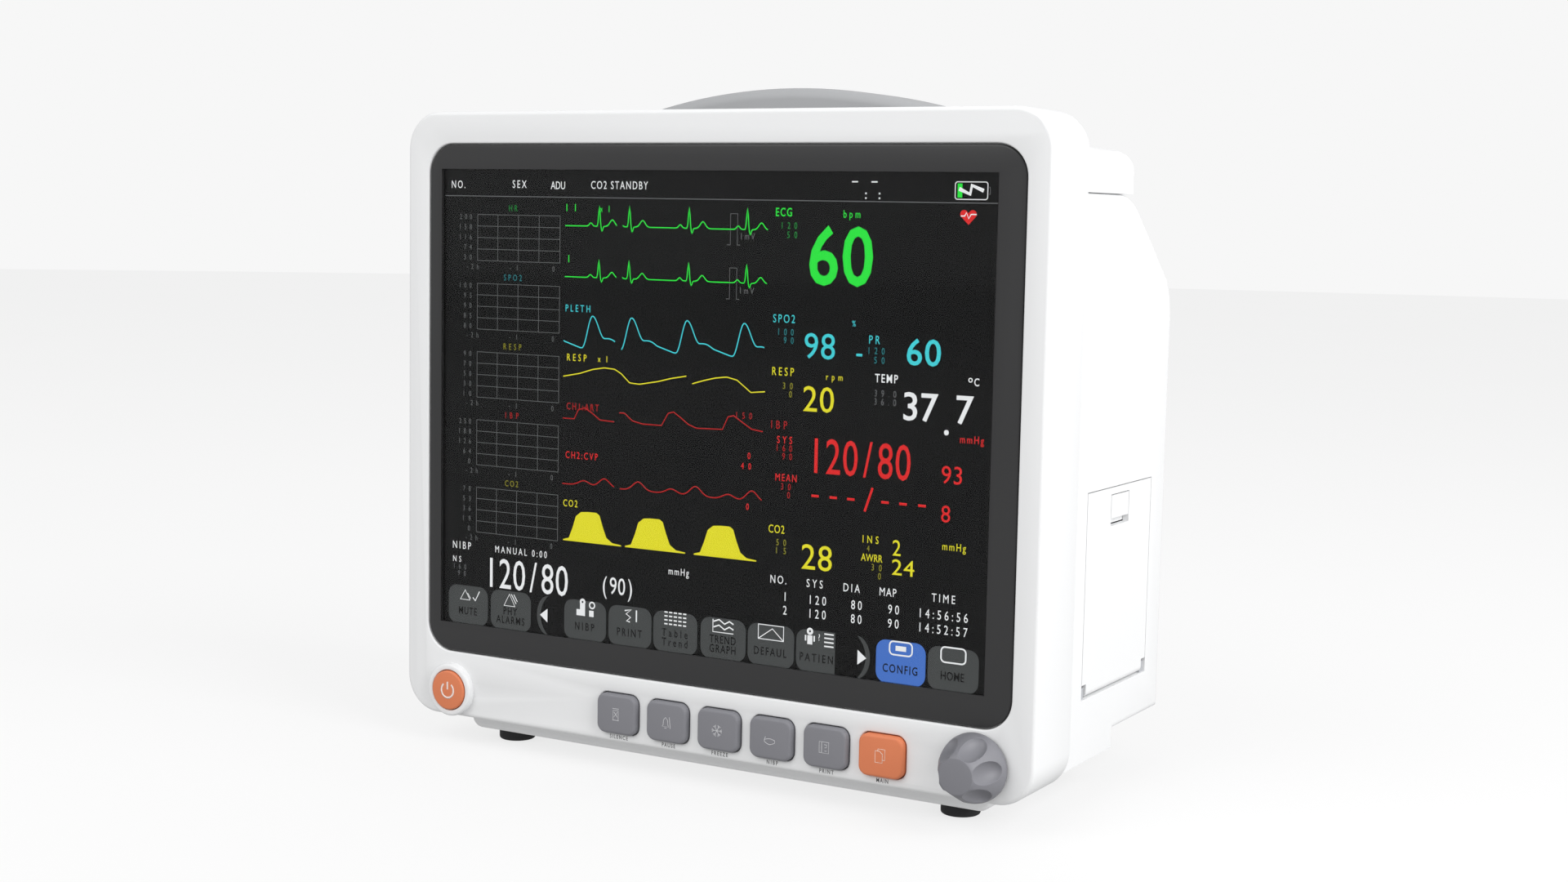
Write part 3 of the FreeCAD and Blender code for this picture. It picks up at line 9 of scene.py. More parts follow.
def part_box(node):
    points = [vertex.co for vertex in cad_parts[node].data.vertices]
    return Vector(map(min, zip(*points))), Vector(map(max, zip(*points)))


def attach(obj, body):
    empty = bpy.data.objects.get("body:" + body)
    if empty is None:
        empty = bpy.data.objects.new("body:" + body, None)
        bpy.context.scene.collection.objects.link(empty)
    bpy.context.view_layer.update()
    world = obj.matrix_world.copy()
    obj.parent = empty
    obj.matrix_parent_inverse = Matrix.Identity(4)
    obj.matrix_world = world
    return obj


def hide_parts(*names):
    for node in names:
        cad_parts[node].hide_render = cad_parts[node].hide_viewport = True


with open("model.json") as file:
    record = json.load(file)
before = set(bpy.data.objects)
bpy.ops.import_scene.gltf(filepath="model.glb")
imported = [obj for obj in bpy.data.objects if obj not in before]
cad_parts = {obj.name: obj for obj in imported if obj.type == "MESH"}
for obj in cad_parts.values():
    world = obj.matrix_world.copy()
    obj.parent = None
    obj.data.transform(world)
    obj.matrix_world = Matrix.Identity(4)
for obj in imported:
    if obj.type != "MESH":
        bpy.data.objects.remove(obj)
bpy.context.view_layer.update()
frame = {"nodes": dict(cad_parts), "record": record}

mm = 0.001
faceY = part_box("front_bezel")[0][1]       # front face of the bezel
past = 0.01                               # how far a cutting tool stands out of the piece it cuts
over = 0.001                              # how far a tool runs through a wall
near = 1e-5                               # points closer than this lie on one plane
print("frame loaded")


camera = {
    "lens": 49.33, "sensor": 36.0,
    "yaw": 30.08, "pitch": -5.88, "roll": 1.11,
    "x": 0.4364, "back": 0.6884, "z": 0.2188,
}


def makeCamera():
    data = bpy.data.cameras.new("camera")
    data.lens = camera["lens"]
    data.sensor_width = camera["sensor"]
    data.clip_start = 0.01
    eye = bpy.data.objects.new("camera", data)
    bpy.context.scene.collection.objects.link(eye)
    turn = Matrix.Rotation(math.radians(camera["yaw"]), 4, "Z")
    tilt = Matrix.Rotation(math.radians(90 + camera["pitch"]), 4, "X")
    roll = Matrix.Rotation(math.radians(camera["roll"]), 4, "Z")
    place = Matrix.Translation((camera["x"], faceY - camera["back"], camera["z"]))
    eye.matrix_world = place @ turn @ tilt @ roll
    bpy.context.scene.camera = eye


studio = {
    "backdrop": 0.93, "sky": 0.68, "floorPaint": 0.20, "floorGlow": 0.74, "floorSpill": 0.35,
    "floorRadius": 7.0, "floorSpread": 0.02, "floorClouds": 3,
    "key": {"at": (1.5, -0.25, 0.9), "aim": (0.05, 0.0, 0.14), "size": 1.3, "power": 25.0},
    "fill": {"at": (-0.7, -1.7, 1.6), "aim": (0.0, 0.0, 0.12), "size": 1.6, "power": 20.0},
}


def makeLamp(name, facts):
    data = bpy.data.lights.new(name, "AREA")
    data.shape = "SQUARE"
    data.size = facts["size"]
    data.energy = facts["power"]
    lamp = bpy.data.objects.new(name, data)
    bpy.context.scene.collection.objects.link(lamp)
    heading = Vector(facts["aim"]) - Vector(facts["at"])
    lamp.rotation_euler = heading.to_track_quat("-Z", "Y").to_euler()
    lamp.location = facts["at"]


def makeStudio():
    world = bpy.data.worlds.new("studio")
    world.use_nodes = True
    nodes = world.node_tree.nodes
    path = nodes.new("ShaderNodeLightPath")
    level = nodes.new("ShaderNodeMapRange")
    level.inputs["To Min"].default_value = studio["sky"]
    level.inputs["To Max"].default_value = studio["backdrop"]
    wire(world.node_tree, (path, "Is Camera Ray", level, "Value"),
         (level, "Result", nodes["Background"], "Color"))
    bpy.context.scene.world = world
    bpy.context.scene.view_settings.view_transform = "Standard"
    makeLamp("keyLamp", studio["key"])
    makeLamp("fillLamp", studio["fill"])
    bpy.ops.mesh.primitive_circle_add(vertices=64, radius=studio["floorRadius"], fill_type="NGON")
    floor = bpy.context.object
    floor.name = "floor"
    tree, shader = newMaterial("floorPaint")
    place = tree.nodes.new("ShaderNodeTexCoord")
    cloud = tree.nodes.new("ShaderNodeTexNoise")
    cloud.inputs["Scale"].default_value = studio["floorClouds"]
    tone = tree.nodes.new("ShaderNodeMapRange")
    tone.inputs["To Min"].default_value = studio["floorPaint"] * (1 - studio["floorSpread"])
    tone.inputs["To Max"].default_value = studio["floorPaint"] * (1 + studio["floorSpread"])
    wire(tree, (place, "Object", cloud, "Vector"), (cloud, "Fac", tone, "Value"),
         (tone, "Result", shader, "Base Color"))
    shader.inputs["Roughness"].default_value = 0.9
    shader.inputs["Specular IOR Level"].default_value = 0.0
    shader.inputs["Emission Color"].default_value = (1, 1, 1, 1)
    path = tree.nodes.new("ShaderNodeLightPath")
    glow = tree.nodes.new("ShaderNodeMapRange")
    glow.inputs["To Min"].default_value = studio["floorSpill"]
    glow.inputs["To Max"].default_value = studio["floorGlow"]
    wire(tree, (path, "Is Camera Ray", glow, "Value"), (glow, "Result", shader, "Emission Strength"))
    floor.data.materials.append(paints["floorPaint"])


def wire(tree, *wires):
    # each wire: a node, its output, the next node and that one's input
    for source, output, target, entry in wires:
        tree.links.new(source.outputs[output], target.inputs[entry])


def newGroup(name, inputs, outputs):
    tree = bpy.data.node_groups.new(name, "ShaderNodeTree")
    for label, kind, value in inputs:
        socket = tree.interface.new_socket(label, in_out="INPUT", socket_type=kind)
        socket.default_value = value
    for label, kind in outputs:
        tree.interface.new_socket(label, in_out="OUTPUT", socket_type=kind)
    return tree, tree.nodes.new("NodeGroupInput"), tree.nodes.new("NodeGroupOutput")


def makeGrainGroup():
    # fine moulded grain: a height for the bump, a slow tone change and a roughness
    tree, start, end = newGroup(
        "mouldedGrain",
        [("Grain Scale", "NodeSocketFloat", 900.0), ("Tone Scale", "NodeSocketFloat", 9.0),
         ("Light", "NodeSocketColor", (0.8, 0.8, 0.8, 1)), ("Dark", "NodeSocketColor", (0.7, 0.7, 0.7, 1)),
         ("Rough Low", "NodeSocketFloat", 0.4), ("Rough High", "NodeSocketFloat", 0.5)],
        [("Color", "NodeSocketColor"), ("Roughness", "NodeSocketFloat"), ("Height", "NodeSocketFloat")])
    nodes = tree.nodes
    place = nodes.new("ShaderNodeTexCoord")
    grain = nodes.new("ShaderNodeTexNoise")
    grain.inputs["Detail"].default_value = 3
    tone = nodes.new("ShaderNodeTexNoise")
    tone.inputs["Detail"].default_value = 4
    mix = nodes.new("ShaderNodeMix")
    mix.data_type = "RGBA"
    rough = nodes.new("ShaderNodeMapRange")
    rough.inputs["From Min"].default_value = 0.3
    rough.inputs["From Max"].default_value = 0.7
    wire(tree, (place, "Object", grain, "Vector"), (place, "Object", tone, "Vector"),
         (start, "Grain Scale", grain, "Scale"), (start, "Tone Scale", tone, "Scale"),
         (tone, "Fac", mix, "Factor"), (start, "Light", mix, "A"), (start, "Dark", mix, "B"),
         (tone, "Fac", rough, "Value"), (start, "Rough Low", rough, "To Min"),
         (start, "Rough High", rough, "To Max"), (mix, "Result", end, "Color"),
         (rough, "Result", end, "Roughness"), (grain, "Fac", end, "Height"))
    return tree


def makeBrushGroup():
    # long scratches along X for rolled and turned metal
    tree, start, end = newGroup(
        "brushLines",
        [("Light", "NodeSocketColor", (0.7, 0.7, 0.7, 1)), ("Dark", "NodeSocketColor", (0.5, 0.5, 0.5, 1)),
         ("Rough Low", "NodeSocketFloat", 0.25), ("Rough High", "NodeSocketFloat", 0.4)],
        [("Color", "NodeSocketColor"), ("Roughness", "NodeSocketFloat"), ("Height", "NodeSocketFloat")])
    nodes = tree.nodes
    place = nodes.new("ShaderNodeTexCoord")
    stretch = nodes.new("ShaderNodeMapping")
    stretch.inputs["Scale"].default_value = (60, 2200, 2200)
    lines = nodes.new("ShaderNodeTexNoise")
    lines.inputs["Scale"].default_value = 1
    lines.inputs["Detail"].default_value = 4
    mix = nodes.new("ShaderNodeMix")
    mix.data_type = "RGBA"
    rough = nodes.new("ShaderNodeMapRange")
    wire(tree, (place, "Object", stretch, "Vector"), (stretch, "Vector", lines, "Vector"),
         (lines, "Fac", mix, "Factor"), (start, "Light", mix, "A"), (start, "Dark", mix, "B"),
         (lines, "Fac", rough, "Value"), (start, "Rough Low", rough, "To Min"),
         (start, "Rough High", rough, "To Max"), (mix, "Result", end, "Color"),
         (rough, "Result", end, "Roughness"), (lines, "Fac", end, "Height"))
    return tree


def makePixelGroup():
    # rows of picture elements over a lit colour
    tree, start, end = newGroup(
        "pixelRows",
        [("Lit", "NodeSocketColor", (1, 1, 1, 1)), ("Dim", "NodeSocketColor", (0.8, 0.8, 0.8, 1)),
         ("Rows", "NodeSocketFloat", 1600.0)],
        [("Color", "NodeSocketColor")])
    nodes = tree.nodes
    place = nodes.new("ShaderNodeTexCoord")
    rows = nodes.new("ShaderNodeTexWave")
    rows.bands_direction = "Z"
    mix = nodes.new("ShaderNodeMix")
    mix.data_type = "RGBA"
    wire(tree, (place, "Object", rows, "Vector"), (start, "Rows", rows, "Scale"),
         (rows, "Fac", mix, "Factor"), (start, "Lit", mix, "A"), (start, "Dim", mix, "B"),
         (mix, "Result", end, "Color"))
    return tree


groups = {"grain": makeGrainGroup(), "brush": makeBrushGroup(), "pixels": makePixelGroup()}


def shade(colour, factor):
    return tuple(min(1.0, part * factor) for part in colour)


# every material by its name
paints = {}


def newMaterial(name):
    made = bpy.data.materials.new(name)
    made.use_nodes = True
    paints[name] = made
    return made.node_tree, made.node_tree.nodes["Principled BSDF"]


# how the two kinds of surface vary: the lighter and darker tone, and the relief's depth
surfaces = {"grain": {"light": 1.02, "dark": 0.965, "depth": 0.0002},
            "brush": {"light": 1.08, "dark": 0.86, "depth": 0.0001}}


def addSurface(tree, shader, kind, colour, rough, spread, bump, more):
    facts = surfaces[kind]
    values = {"Light": (*shade(colour, facts["light"]), 1), "Dark": (*shade(colour, facts["dark"]), 1),
              "Rough Low": rough, "Rough High": rough + spread, **more}
    group = tree.nodes.new("ShaderNodeGroup")
    group.node_tree = groups[kind]
    for label, value in values.items():
        group.inputs[label].default_value = value
    height = tree.nodes.new("ShaderNodeBump")
    height.inputs["Strength"].default_value = bump
    height.inputs["Distance"].default_value = facts["depth"]
    wire(tree, (group, "Height", height, "Height"), (group, "Color", shader, "Base Color"),
         (group, "Roughness", shader, "Roughness"), (height, "Normal", shader, "Normal"))


def mouldedPlastic(name, colour, rough=0.42, spread=0.1, grain=1400.0, bump=0.12, specular=0.45):
    tree, shader = newMaterial(name)
    addSurface(tree, shader, "grain", colour, rough, spread, bump, {"Grain Scale": grain})
    shader.inputs["Specular IOR Level"].default_value = specular


def workedMetal(name, colour, rough=0.28, spread=0.15, bump=0.15):
    tree, shader = newMaterial(name)
    addSurface(tree, shader, "brush", colour, rough, spread, bump, {})
    shader.inputs["Metallic"].default_value = 1.0


def litInk(name, colour, strength):
    tree, shader = newMaterial(name)
    group = tree.nodes.new("ShaderNodeGroup")
    group.node_tree = groups["pixels"]
    group.inputs["Lit"].default_value = (*colour, 1)
    group.inputs["Dim"].default_value = (*shade(colour, 0.86), 1)
    shader.inputs["Base Color"].default_value = (0.01, 0.01, 0.01, 1)
    shader.inputs["Roughness"].default_value = 0.6
    shader.inputs["Specular IOR Level"].default_value = 0.0
    shader.inputs["Emission Strength"].default_value = strength
    wire(tree, (group, "Color", shader, "Emission Color"))


def clearGlass(name):
    tree, shader = newMaterial(name)
    place = tree.nodes.new("ShaderNodeTexCoord")
    smear = tree.nodes.new("ShaderNodeTexNoise")
    smear.inputs["Scale"].default_value = 14
    smear.inputs["Detail"].default_value = 5
    rough = tree.nodes.new("ShaderNodeMapRange")
    rough.inputs["To Min"].default_value = 0.015
    rough.inputs["To Max"].default_value = 0.05
    wire(tree, (place, "Object", smear, "Vector"), (smear, "Fac", rough, "Value"),
         (rough, "Result", shader, "Roughness"))
    shader.inputs["Base Color"].default_value = (0.97, 0.98, 0.98, 1)
    shader.inputs["Transmission Weight"].default_value = 1.0
    shader.inputs["IOR"].default_value = 1.2


# colours are linear
mouldedPlastic("housingWhite", (0.80, 0.805, 0.81), rough=0.38, bump=0.08)
mouldedPlastic("bezelWhite", (0.79, 0.795, 0.80), rough=0.34, bump=0.06)
mouldedPlastic("handleGrey", (0.36, 0.365, 0.375), rough=0.45)
# the base rail is the housing's white, painted lighter than the housing to lift the shade it sits in under
# the bezel
mouldedPlastic("railWhiteWithPaintedLight", (0.86, 0.865, 0.87), rough=0.45)
mouldedPlastic("keyGrey", (0.205, 0.205, 0.225), rough=0.5, bump=0.1)
mouldedPlastic("keyOrange", (0.68, 0.20, 0.085), rough=0.48, bump=0.1)
mouldedPlastic("knobGrey", (0.195, 0.195, 0.215), rough=0.42, bump=0.1)
mouldedPlastic("keyMark", (0.55, 0.55, 0.57), rough=0.5)
mouldedPlastic("orangeMark", (0.86, 0.62, 0.52), rough=0.5)
mouldedPlastic("powerMark", (0.88, 0.72, 0.66), rough=0.5)
mouldedPlastic("labelInk", (0.10, 0.10, 0.105), rough=0.55)
mouldedPlastic("borderInk", (0.034, 0.034, 0.035), rough=0.16, spread=0.08, bump=0.01,
               specular=0.3)
mouldedPlastic("panelBlack", (0.0012, 0.0012, 0.0015), rough=0.35, bump=0.01, specular=0.1)
mouldedPlastic("footRubber", (0.015, 0.015, 0.016), rough=0.7, bump=0.4, grain=700.0)
mouldedPlastic("blackPlastic", (0.025, 0.025, 0.028), rough=0.45)
mouldedPlastic("panelGrey", (0.42, 0.43, 0.45), rough=0.5)
mouldedPlastic("boardGreen", (0.02, 0.13, 0.05), rough=0.25, grain=300.0, bump=0.3)
mouldedPlastic("socketGreen", (0.05, 0.30, 0.12), rough=0.4)
mouldedPlastic("socketBlue", (0.04, 0.13, 0.40), rough=0.4)
mouldedPlastic("socketRed", (0.45, 0.04, 0.04), rough=0.4)
mouldedPlastic("socketYellow", (0.65, 0.43, 0.05), rough=0.4)
mouldedPlastic("socketWhite", (0.70, 0.71, 0.72), rough=0.4)
mouldedPlastic("paperWhite", (0.85, 0.85, 0.83), rough=0.7, grain=2500.0, bump=0.2)
mouldedPlastic("tubeMilk", (0.55, 0.56, 0.55), rough=0.4)
mouldedPlastic("foamBlack", (0.02, 0.02, 0.02), rough=0.8, grain=900.0, bump=0.6)
workedMetal("steel", (0.56, 0.57, 0.58))
workedMetal("aluminium", (0.62, 0.63, 0.65), rough=0.35)
workedMetal("brass", (0.72, 0.52, 0.24), rough=0.3)
clearGlass("coverGlass")
litInk("litWhite", (0.92, 0.93, 0.94), 0.95)
litInk("litGrey", (0.30, 0.31, 0.32), 0.42)
litInk("litDim", (0.34, 0.36, 0.36), 0.36)
litInk("litGreen", (0.02, 0.80, 0.05), 1.0)
litInk("litDimGreen", (0.01, 0.34, 0.05), 0.7)
litInk("litCyan", (0.06, 0.68, 0.74), 0.95)
litInk("litDimCyan", (0.03, 0.30, 0.34), 0.7)
litInk("litYellow", (0.80, 0.74, 0.02), 1.0)
litInk("litDimYellow", (0.36, 0.34, 0.02), 0.75)
litInk("litRed", (0.75, 0.02, 0.02), 1.0)
litInk("litDimRed", (0.50, 0.012, 0.012), 0.8)
litInk("litBlue", (0.065, 0.18, 0.60), 0.95)
litInk("litButton", (0.062, 0.066, 0.066), 0.95)
litInk("litInkDark", (0.004, 0.004, 0.004), 0.5)

slotPaints = {
    "housing_white": "housingWhite", "handle_grey": "handleGrey", "key_grey": "keyGrey",
    "key_orange": "keyOrange", "knob_grey": "knobGrey", "touch_glass": "coverGlass",
    "display": "panelBlack", "foam_black": "foamBlack", "steel": "steel", "aluminium": "aluminium",
    "brass": "brass", "board_green": "boardGreen", "part_black": "blackPlastic",
    "foot_rubber": "footRubber", "panel_grey": "panelGrey", "socket_green": "socketGreen",
    "socket_blue": "socketBlue", "socket_red": "socketRed", "socket_yellow": "socketYellow",
    "socket_white": "socketWhite", "paper": "paperWhite", "tube_clear": "tubeMilk",
}


def paintNodes():
    for part in frame["record"]["subparts"]:
        node = frame["nodes"][part["node"]]
        node.data.materials.clear()
        node.data.materials.append(paints[slotPaints[part["material_slot"]]])


def only(*pieces):
    bpy.ops.object.select_all(action="DESELECT")
    for piece in pieces:
        piece.select_set(True)
    bpy.context.view_layer.objects.active = pieces[0]


def applyPlace(piece):
    only(piece)
    bpy.ops.object.transform_apply(location=True, rotation=True, scale=True)


def addBlock(name, low, high):
    bpy.ops.object.select_all(action="DESELECT")
    low, high = Vector(low), Vector(high)
    bpy.ops.mesh.primitive_cube_add(size=1, location=(low + high) / 2)
    block = bpy.context.object
    block.name = name
    block.scale = high - low
    applyPlace(block)
    return block


def editEdges(piece, wanted):
    only(piece)
    bpy.ops.object.mode_set(mode="EDIT")
    bpy.ops.mesh.select_mode(type="EDGE")
    bpy.ops.mesh.select_all(action="DESELECT")
    mesh = bmesh.from_edit_mesh(piece.data)
    for edge in mesh.edges:
        edge.select = wanted(edge.verts[0].co, edge.verts[1].co)
    bmesh.update_edit_mesh(piece.data)


def bevelEdges(piece, wanted, width, segments):
    editEdges(piece, wanted)
    bpy.ops.mesh.bevel(offset=width, segments=segments, affect="EDGES", profile=0.5)
    bpy.ops.object.mode_set(mode="OBJECT")


def runsAlong(axis):
    others = [index for index in range(3) if index != axis]
    return lambda a, b: all(abs(a[index] - b[index]) < 1e-6 for index in others)


def liesAt(axis, level):
    return lambda a, b: abs(a[axis] - level) < near and abs(b[axis] - level) < near


def roundedBlock(name, low, high, axis, corner, segments=8):
    block = addBlock(name, low, high)
    bevelEdges(block, runsAlong(axis), corner, segments)
    return block


def addRod(name, centre, radius, axis, low, high, vertices=48):
    bpy.ops.object.select_all(action="DESELECT")
    bpy.ops.mesh.primitive_cylinder_add(vertices=vertices, radius=radius, depth=high - low)
    rod = bpy.context.object
    rod.name = name
    middle = list(centre)
    middle.insert(axis, (low + high) / 2)
    rod.location = middle
    if axis == 0:
        rod.rotation_euler = (0, math.pi / 2, 0)
    elif axis == 1:
        rod.rotation_euler = (math.pi / 2, 0, 0)
    applyPlace(rod)
    return rod


def cutAway(piece, *tools):
    for tool in tools:
        only(piece)
        cut = piece.modifiers.new("cut", "BOOLEAN")
        cut.operation = "DIFFERENCE"
        cut.solver = "EXACT"
        cut.object = tool
        bpy.ops.object.modifier_apply(modifier="cut")
        bpy.data.objects.remove(tool, do_unlink=True)


def join(name, pieces):
    only(*pieces)
    if len(pieces) > 1:
        bpy.ops.object.join()
    whole = bpy.context.object
    whole.name = name
    applyPlace(whole)
    return whole


def softenEdges(piece, width, segments=3, angle=30):
    only(piece)
    soften = piece.modifiers.new("soften", "BEVEL")
    soften.width = width
    soften.segments = segments
    soften.limit_method = "ANGLE"
    soften.angle_limit = math.radians(angle)
    soften.use_clamp_overlap = True
    bpy.ops.object.modifier_apply(modifier="soften")


def finish(piece, paint, body, replaced=(), smooth=35):
    only(piece)
    if smooth:
        bpy.ops.object.shade_smooth_by_angle(angle=math.radians(smooth))
    piece.data.materials.clear()
    piece.data.materials.append(paints[paint])
    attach(piece, body)
    if replaced:
        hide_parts(*replaced)


bezel = {
    "corner": 0.015, "frontEdge": 0.0017, "backEdge": 0.0014, "wall": 0.003, "front": 0.0054,
    "glassGap": 0.0005, "glassCorner": 0.012, "recess": 0.0028, "lip": 0.003, "lipReach": 0.011,
    "windowEdge": 0.0006, "keyGap": 0.00035, "keyCorner": 0.00385, "panelCover": 0.0061,
    "stemWell": 0.0033, "shaftWell": 0.0037, "wellDepth": 0.0064, "rimInset": 0.004, "rimLow": 0.0033,
}
keyNames = ("silence_key", "pause_key", "freeze_key", "nibp_key", "print_key", "main_key")


def keySpan(name):
    # the cap alone: the flange stands past it on every side
    low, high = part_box(name)
    flange = controls["flangeExtra"]
    return low[0] + flange, high[0] - flange, low[2] + flange, high[2] - flange


def middleXZ(name):
    low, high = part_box(name)
    return (low[0] + high[0]) / 2, (low[2] + high[2]) / 2


def makeBezel():
    low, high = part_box("front_bezel")
    shell = roundedBlock("bezelShell", low, high, 1, bezel["corner"], 14)
    bevelEdges(shell, liesAt(1, low[1]), bezel["frontEdge"], 6)
    bevelEdges(shell, liesAt(1, high[1]), bezel["backEdge"], 3)
    wall, gap = bezel["wall"], bezel["glassGap"]
    hollow = roundedBlock("hollow", (low[0] + wall, low[1] + bezel["front"], low[2] + wall),
                          (high[0] - wall, high[1] - bezel["lip"], high[2] - wall), 1,
                          bezel["corner"] - wall, 8)
    rearLow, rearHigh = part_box("rear_housing")
    reach = bezel["lipReach"]
    back = addBlock("back", (low[0] + reach, high[1] - bezel["lip"] * 2, rearLow[2] + wall),
                    (high[0] - reach, high[1] + past, rearHigh[2] - wall))
    glassLow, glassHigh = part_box("touch_glass")
    seat = roundedBlock("seat", (glassLow[0] - gap, low[1] - past, glassLow[2] - gap),
                        (glassHigh[0] + gap, low[1] + bezel["recess"], glassHigh[2] + gap), 1,
                        bezel["glassCorner"], 12)
    panelLow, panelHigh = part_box("lcd_panel")
    edge, through = bezel["panelCover"], low[1] + bezel["front"] + over
    window = addBlock("window", (panelLow[0] + edge, low[1] - past, panelLow[2] + edge),
                      (panelHigh[0] - edge, through, panelHigh[2] - edge))
    tools = [hollow, back, seat, window]
    gap = bezel["keyGap"]
    for name in keyNames:
        left, right, bottom, top = keySpan(name)
        tools.append(roundedBlock("keyWell", (left - gap, low[1] - past, bottom - gap),
                                  (right + gap, through, top + gap), 1, bezel["keyCorner"], 6))
    for name, well in (("power_button", "stemWell"), ("selector_knob", "shaftWell")):
        tools.append(addRod(well, middleXZ(name), bezel[well], 1, low[1] - past,
                            low[1] + bezel["wellDepth"], 32))
    cutAway(shell, *tools)

    def rim(a, b):
        # the glass seat's and the key wells' edges at the front face
        inset, onFace = bezel["rimInset"], liesAt(1, low[1])(a, b)
        inside = all(low[0] + inset < point.x < high[0] - inset for point in (a, b))
        return onFace and inside and low[2] + bezel["rimLow"] < a.z < high[2] - inset
    bevelEdges(shell, rim, bezel["windowEdge"], 3)
    finish(shell, "bezelWhite", "housing", ["front_bezel"], 32)
    print("bezel made")


display = {
    "width": 0.246, "height": 0.1845, "columns": 800, "rows": 600,
    "glassCorner": 0.0115, "glassEdge": 0.0006, "margin": 0.0006, "joint": 0.00002,
    "ink": 0.00004, "inkDepth": 0.0001, "onTop": -0.00005,
}
# the built-in typeface: capital height, their middle and a figure's width, for letters of size 1
lettering = {"capital": 0.7, "middle": 0.341, "figure": 0.44, "figureFill": 0.84, "narrow": 0.76}


def makeGlass():
    # one sheet of glass: a printed border all round and a clear pane over the picture
    low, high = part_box("touch_glass")
    left, top, wide, tall = pictureFrame()
    margin, joint = display["margin"], display["joint"]
    border = roundedBlock("printedBorder", low, high, 1, display["glassCorner"], 14)
    bevelEdges(border, liesAt(1, low[1]), display["glassEdge"], 3)
    opening = addBlock("opening", (left - margin, low[1] - over, top - tall - margin),
                       (left + wide + margin, high[1] + over, top + margin))
    cutAway(border, opening)
    finish(border, "borderInk", "housing", ["touch_glass"], 32)
    pane = addBlock("clearPane", (left - margin + joint, low[1], top - tall - margin + joint),
                    (left + wide + margin - joint, high[1], top + margin - joint))
    bevelEdges(pane, liesAt(1, low[1]), joint, 1)
    finish(pane, "coverGlass", "housing", smooth=0)
    # the pane's side faces are black like the border around them
    pane.data.materials.append(paints["borderInk"])
    for face in pane.data.polygons:
        face.material_index = 0 if abs(face.normal.y) > 0.9 else 1
    print("glass made")


def pictureFrame():
    low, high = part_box("lcd_panel")
    wide, tall = display["width"], display["height"]
    return (low[0] + high[0] - wide) / 2, (low[2] + high[2] + tall) / 2, wide, tall


def spot(column, row):
    left, top, wide, tall = pictureFrame()
    return Vector((left + wide * column / display["columns"],
                   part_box("touch_glass")[1][1] + display["inkDepth"],
                   top - tall * row / display["rows"]))


# finished ink pieces wait here by paint, and each paint becomes one piece
inks = {}


def keepInk(piece, paint, layer=0.0):
    for vertex in piece.data.vertices:
        vertex.co.y += layer
    inks.setdefault(paint, []).append(piece)


def flatText(text, middle, tall, thick, narrow, wide=None, weight=0.0):
    # lettering on a face that looks towards -Y, spaced out to a given width
    bpy.ops.object.select_all(action="DESELECT")
    bpy.ops.object.text_add()
    letters = bpy.context.object
    letters.data.body = text
    letters.data.extrude = 0.5
    letters.data.offset = weight
    letters.data.resolution_u = 3
    scale = tall / lettering["capital"]
    if wide and len(text) > 1:
        bpy.context.view_layer.update()
        close = letters.dimensions.x
        letters.data.space_character = 2
        bpy.context.view_layer.update()
        apart = letters.dimensions.x
        letters.data.space_character = 1 + (wide / scale / narrow - close) / (apart - close)
    bpy.ops.object.convert(target="MESH")
    across = [vertex.co.x for vertex in letters.data.vertices]
    centre = (min(across) + max(across)) / 2
    for vertex in letters.data.vertices:
        x, y, z = vertex.co
        vertex.co = Vector(middle) + Vector(((x - centre) * scale * narrow, -z * thick,
                                             (y - lettering["middle"]) * scale))
    return letters


def flatStroke(points, width, thick, closed=False):
    # a flat line through points that share one y
    curve = bpy.data.curves.new("stroke", "CURVE")
    curve.dimensions = "3D"
    run = curve.splines.new("POLY")
    run.points.add(len(points) - 1)
    for point, place in zip(run.points, points):
        point.co = (*place, 1)
    run.use_cyclic_u = closed
    curve.bevel_depth = width / 2
    curve.bevel_resolution = 0
    curve.use_fill_caps = not closed
    stroke = bpy.data.objects.new("stroke", curve)
    bpy.context.scene.collection.objects.link(stroke)
    only(stroke)
    bpy.ops.object.convert(target="MESH")
    stroke = bpy.context.object
    level = points[0][1]
    for vertex in stroke.data.vertices:
        vertex.co.y = level + (vertex.co.y - level) * thick / width
    return stroke


def ink(text, column, row, height, paint, pitch=8.0, anchor=0.5, weight=0.0, layer=0.0):
    # lettering on the display, one pitch per letter; column is its centre, or an end by anchor
    unit = display["height"] / display["rows"]
    middle = spot(column + (0.5 - anchor) * len(text) * pitch, row)
    wide = (len(text) - 0.2) * pitch * unit
    letters = flatText(text, middle, height * unit, display["ink"], lettering["narrow"], wide, weight)
    keepInk(letters, paint, layer)


def digits(text, column, row, height, paint, pitch, weight=0.0):
    # each figure keeps its own cell, so a 1 or a stop stays narrow
    unit = display["height"] / display["rows"]
    narrow = pitch * lettering["figureFill"] / lettering["figure"] / (height / lettering["capital"])
    for index, figure in enumerate(text):
        middle = spot(column + (index - (len(text) - 1) / 2) * pitch, row)
        keepInk(flatText(figure, middle, height * unit, display["ink"], narrow, None, weight), paint)


def line(points, paint, width=1.4, closed=False, layer=0.0):
    # a stroke through points given in display columns and rows
    unit = display["height"] / display["rows"]
    places = [spot(column, row) for column, row in points]
    keepInk(flatStroke(places, width * unit, display["ink"], closed), paint, layer)


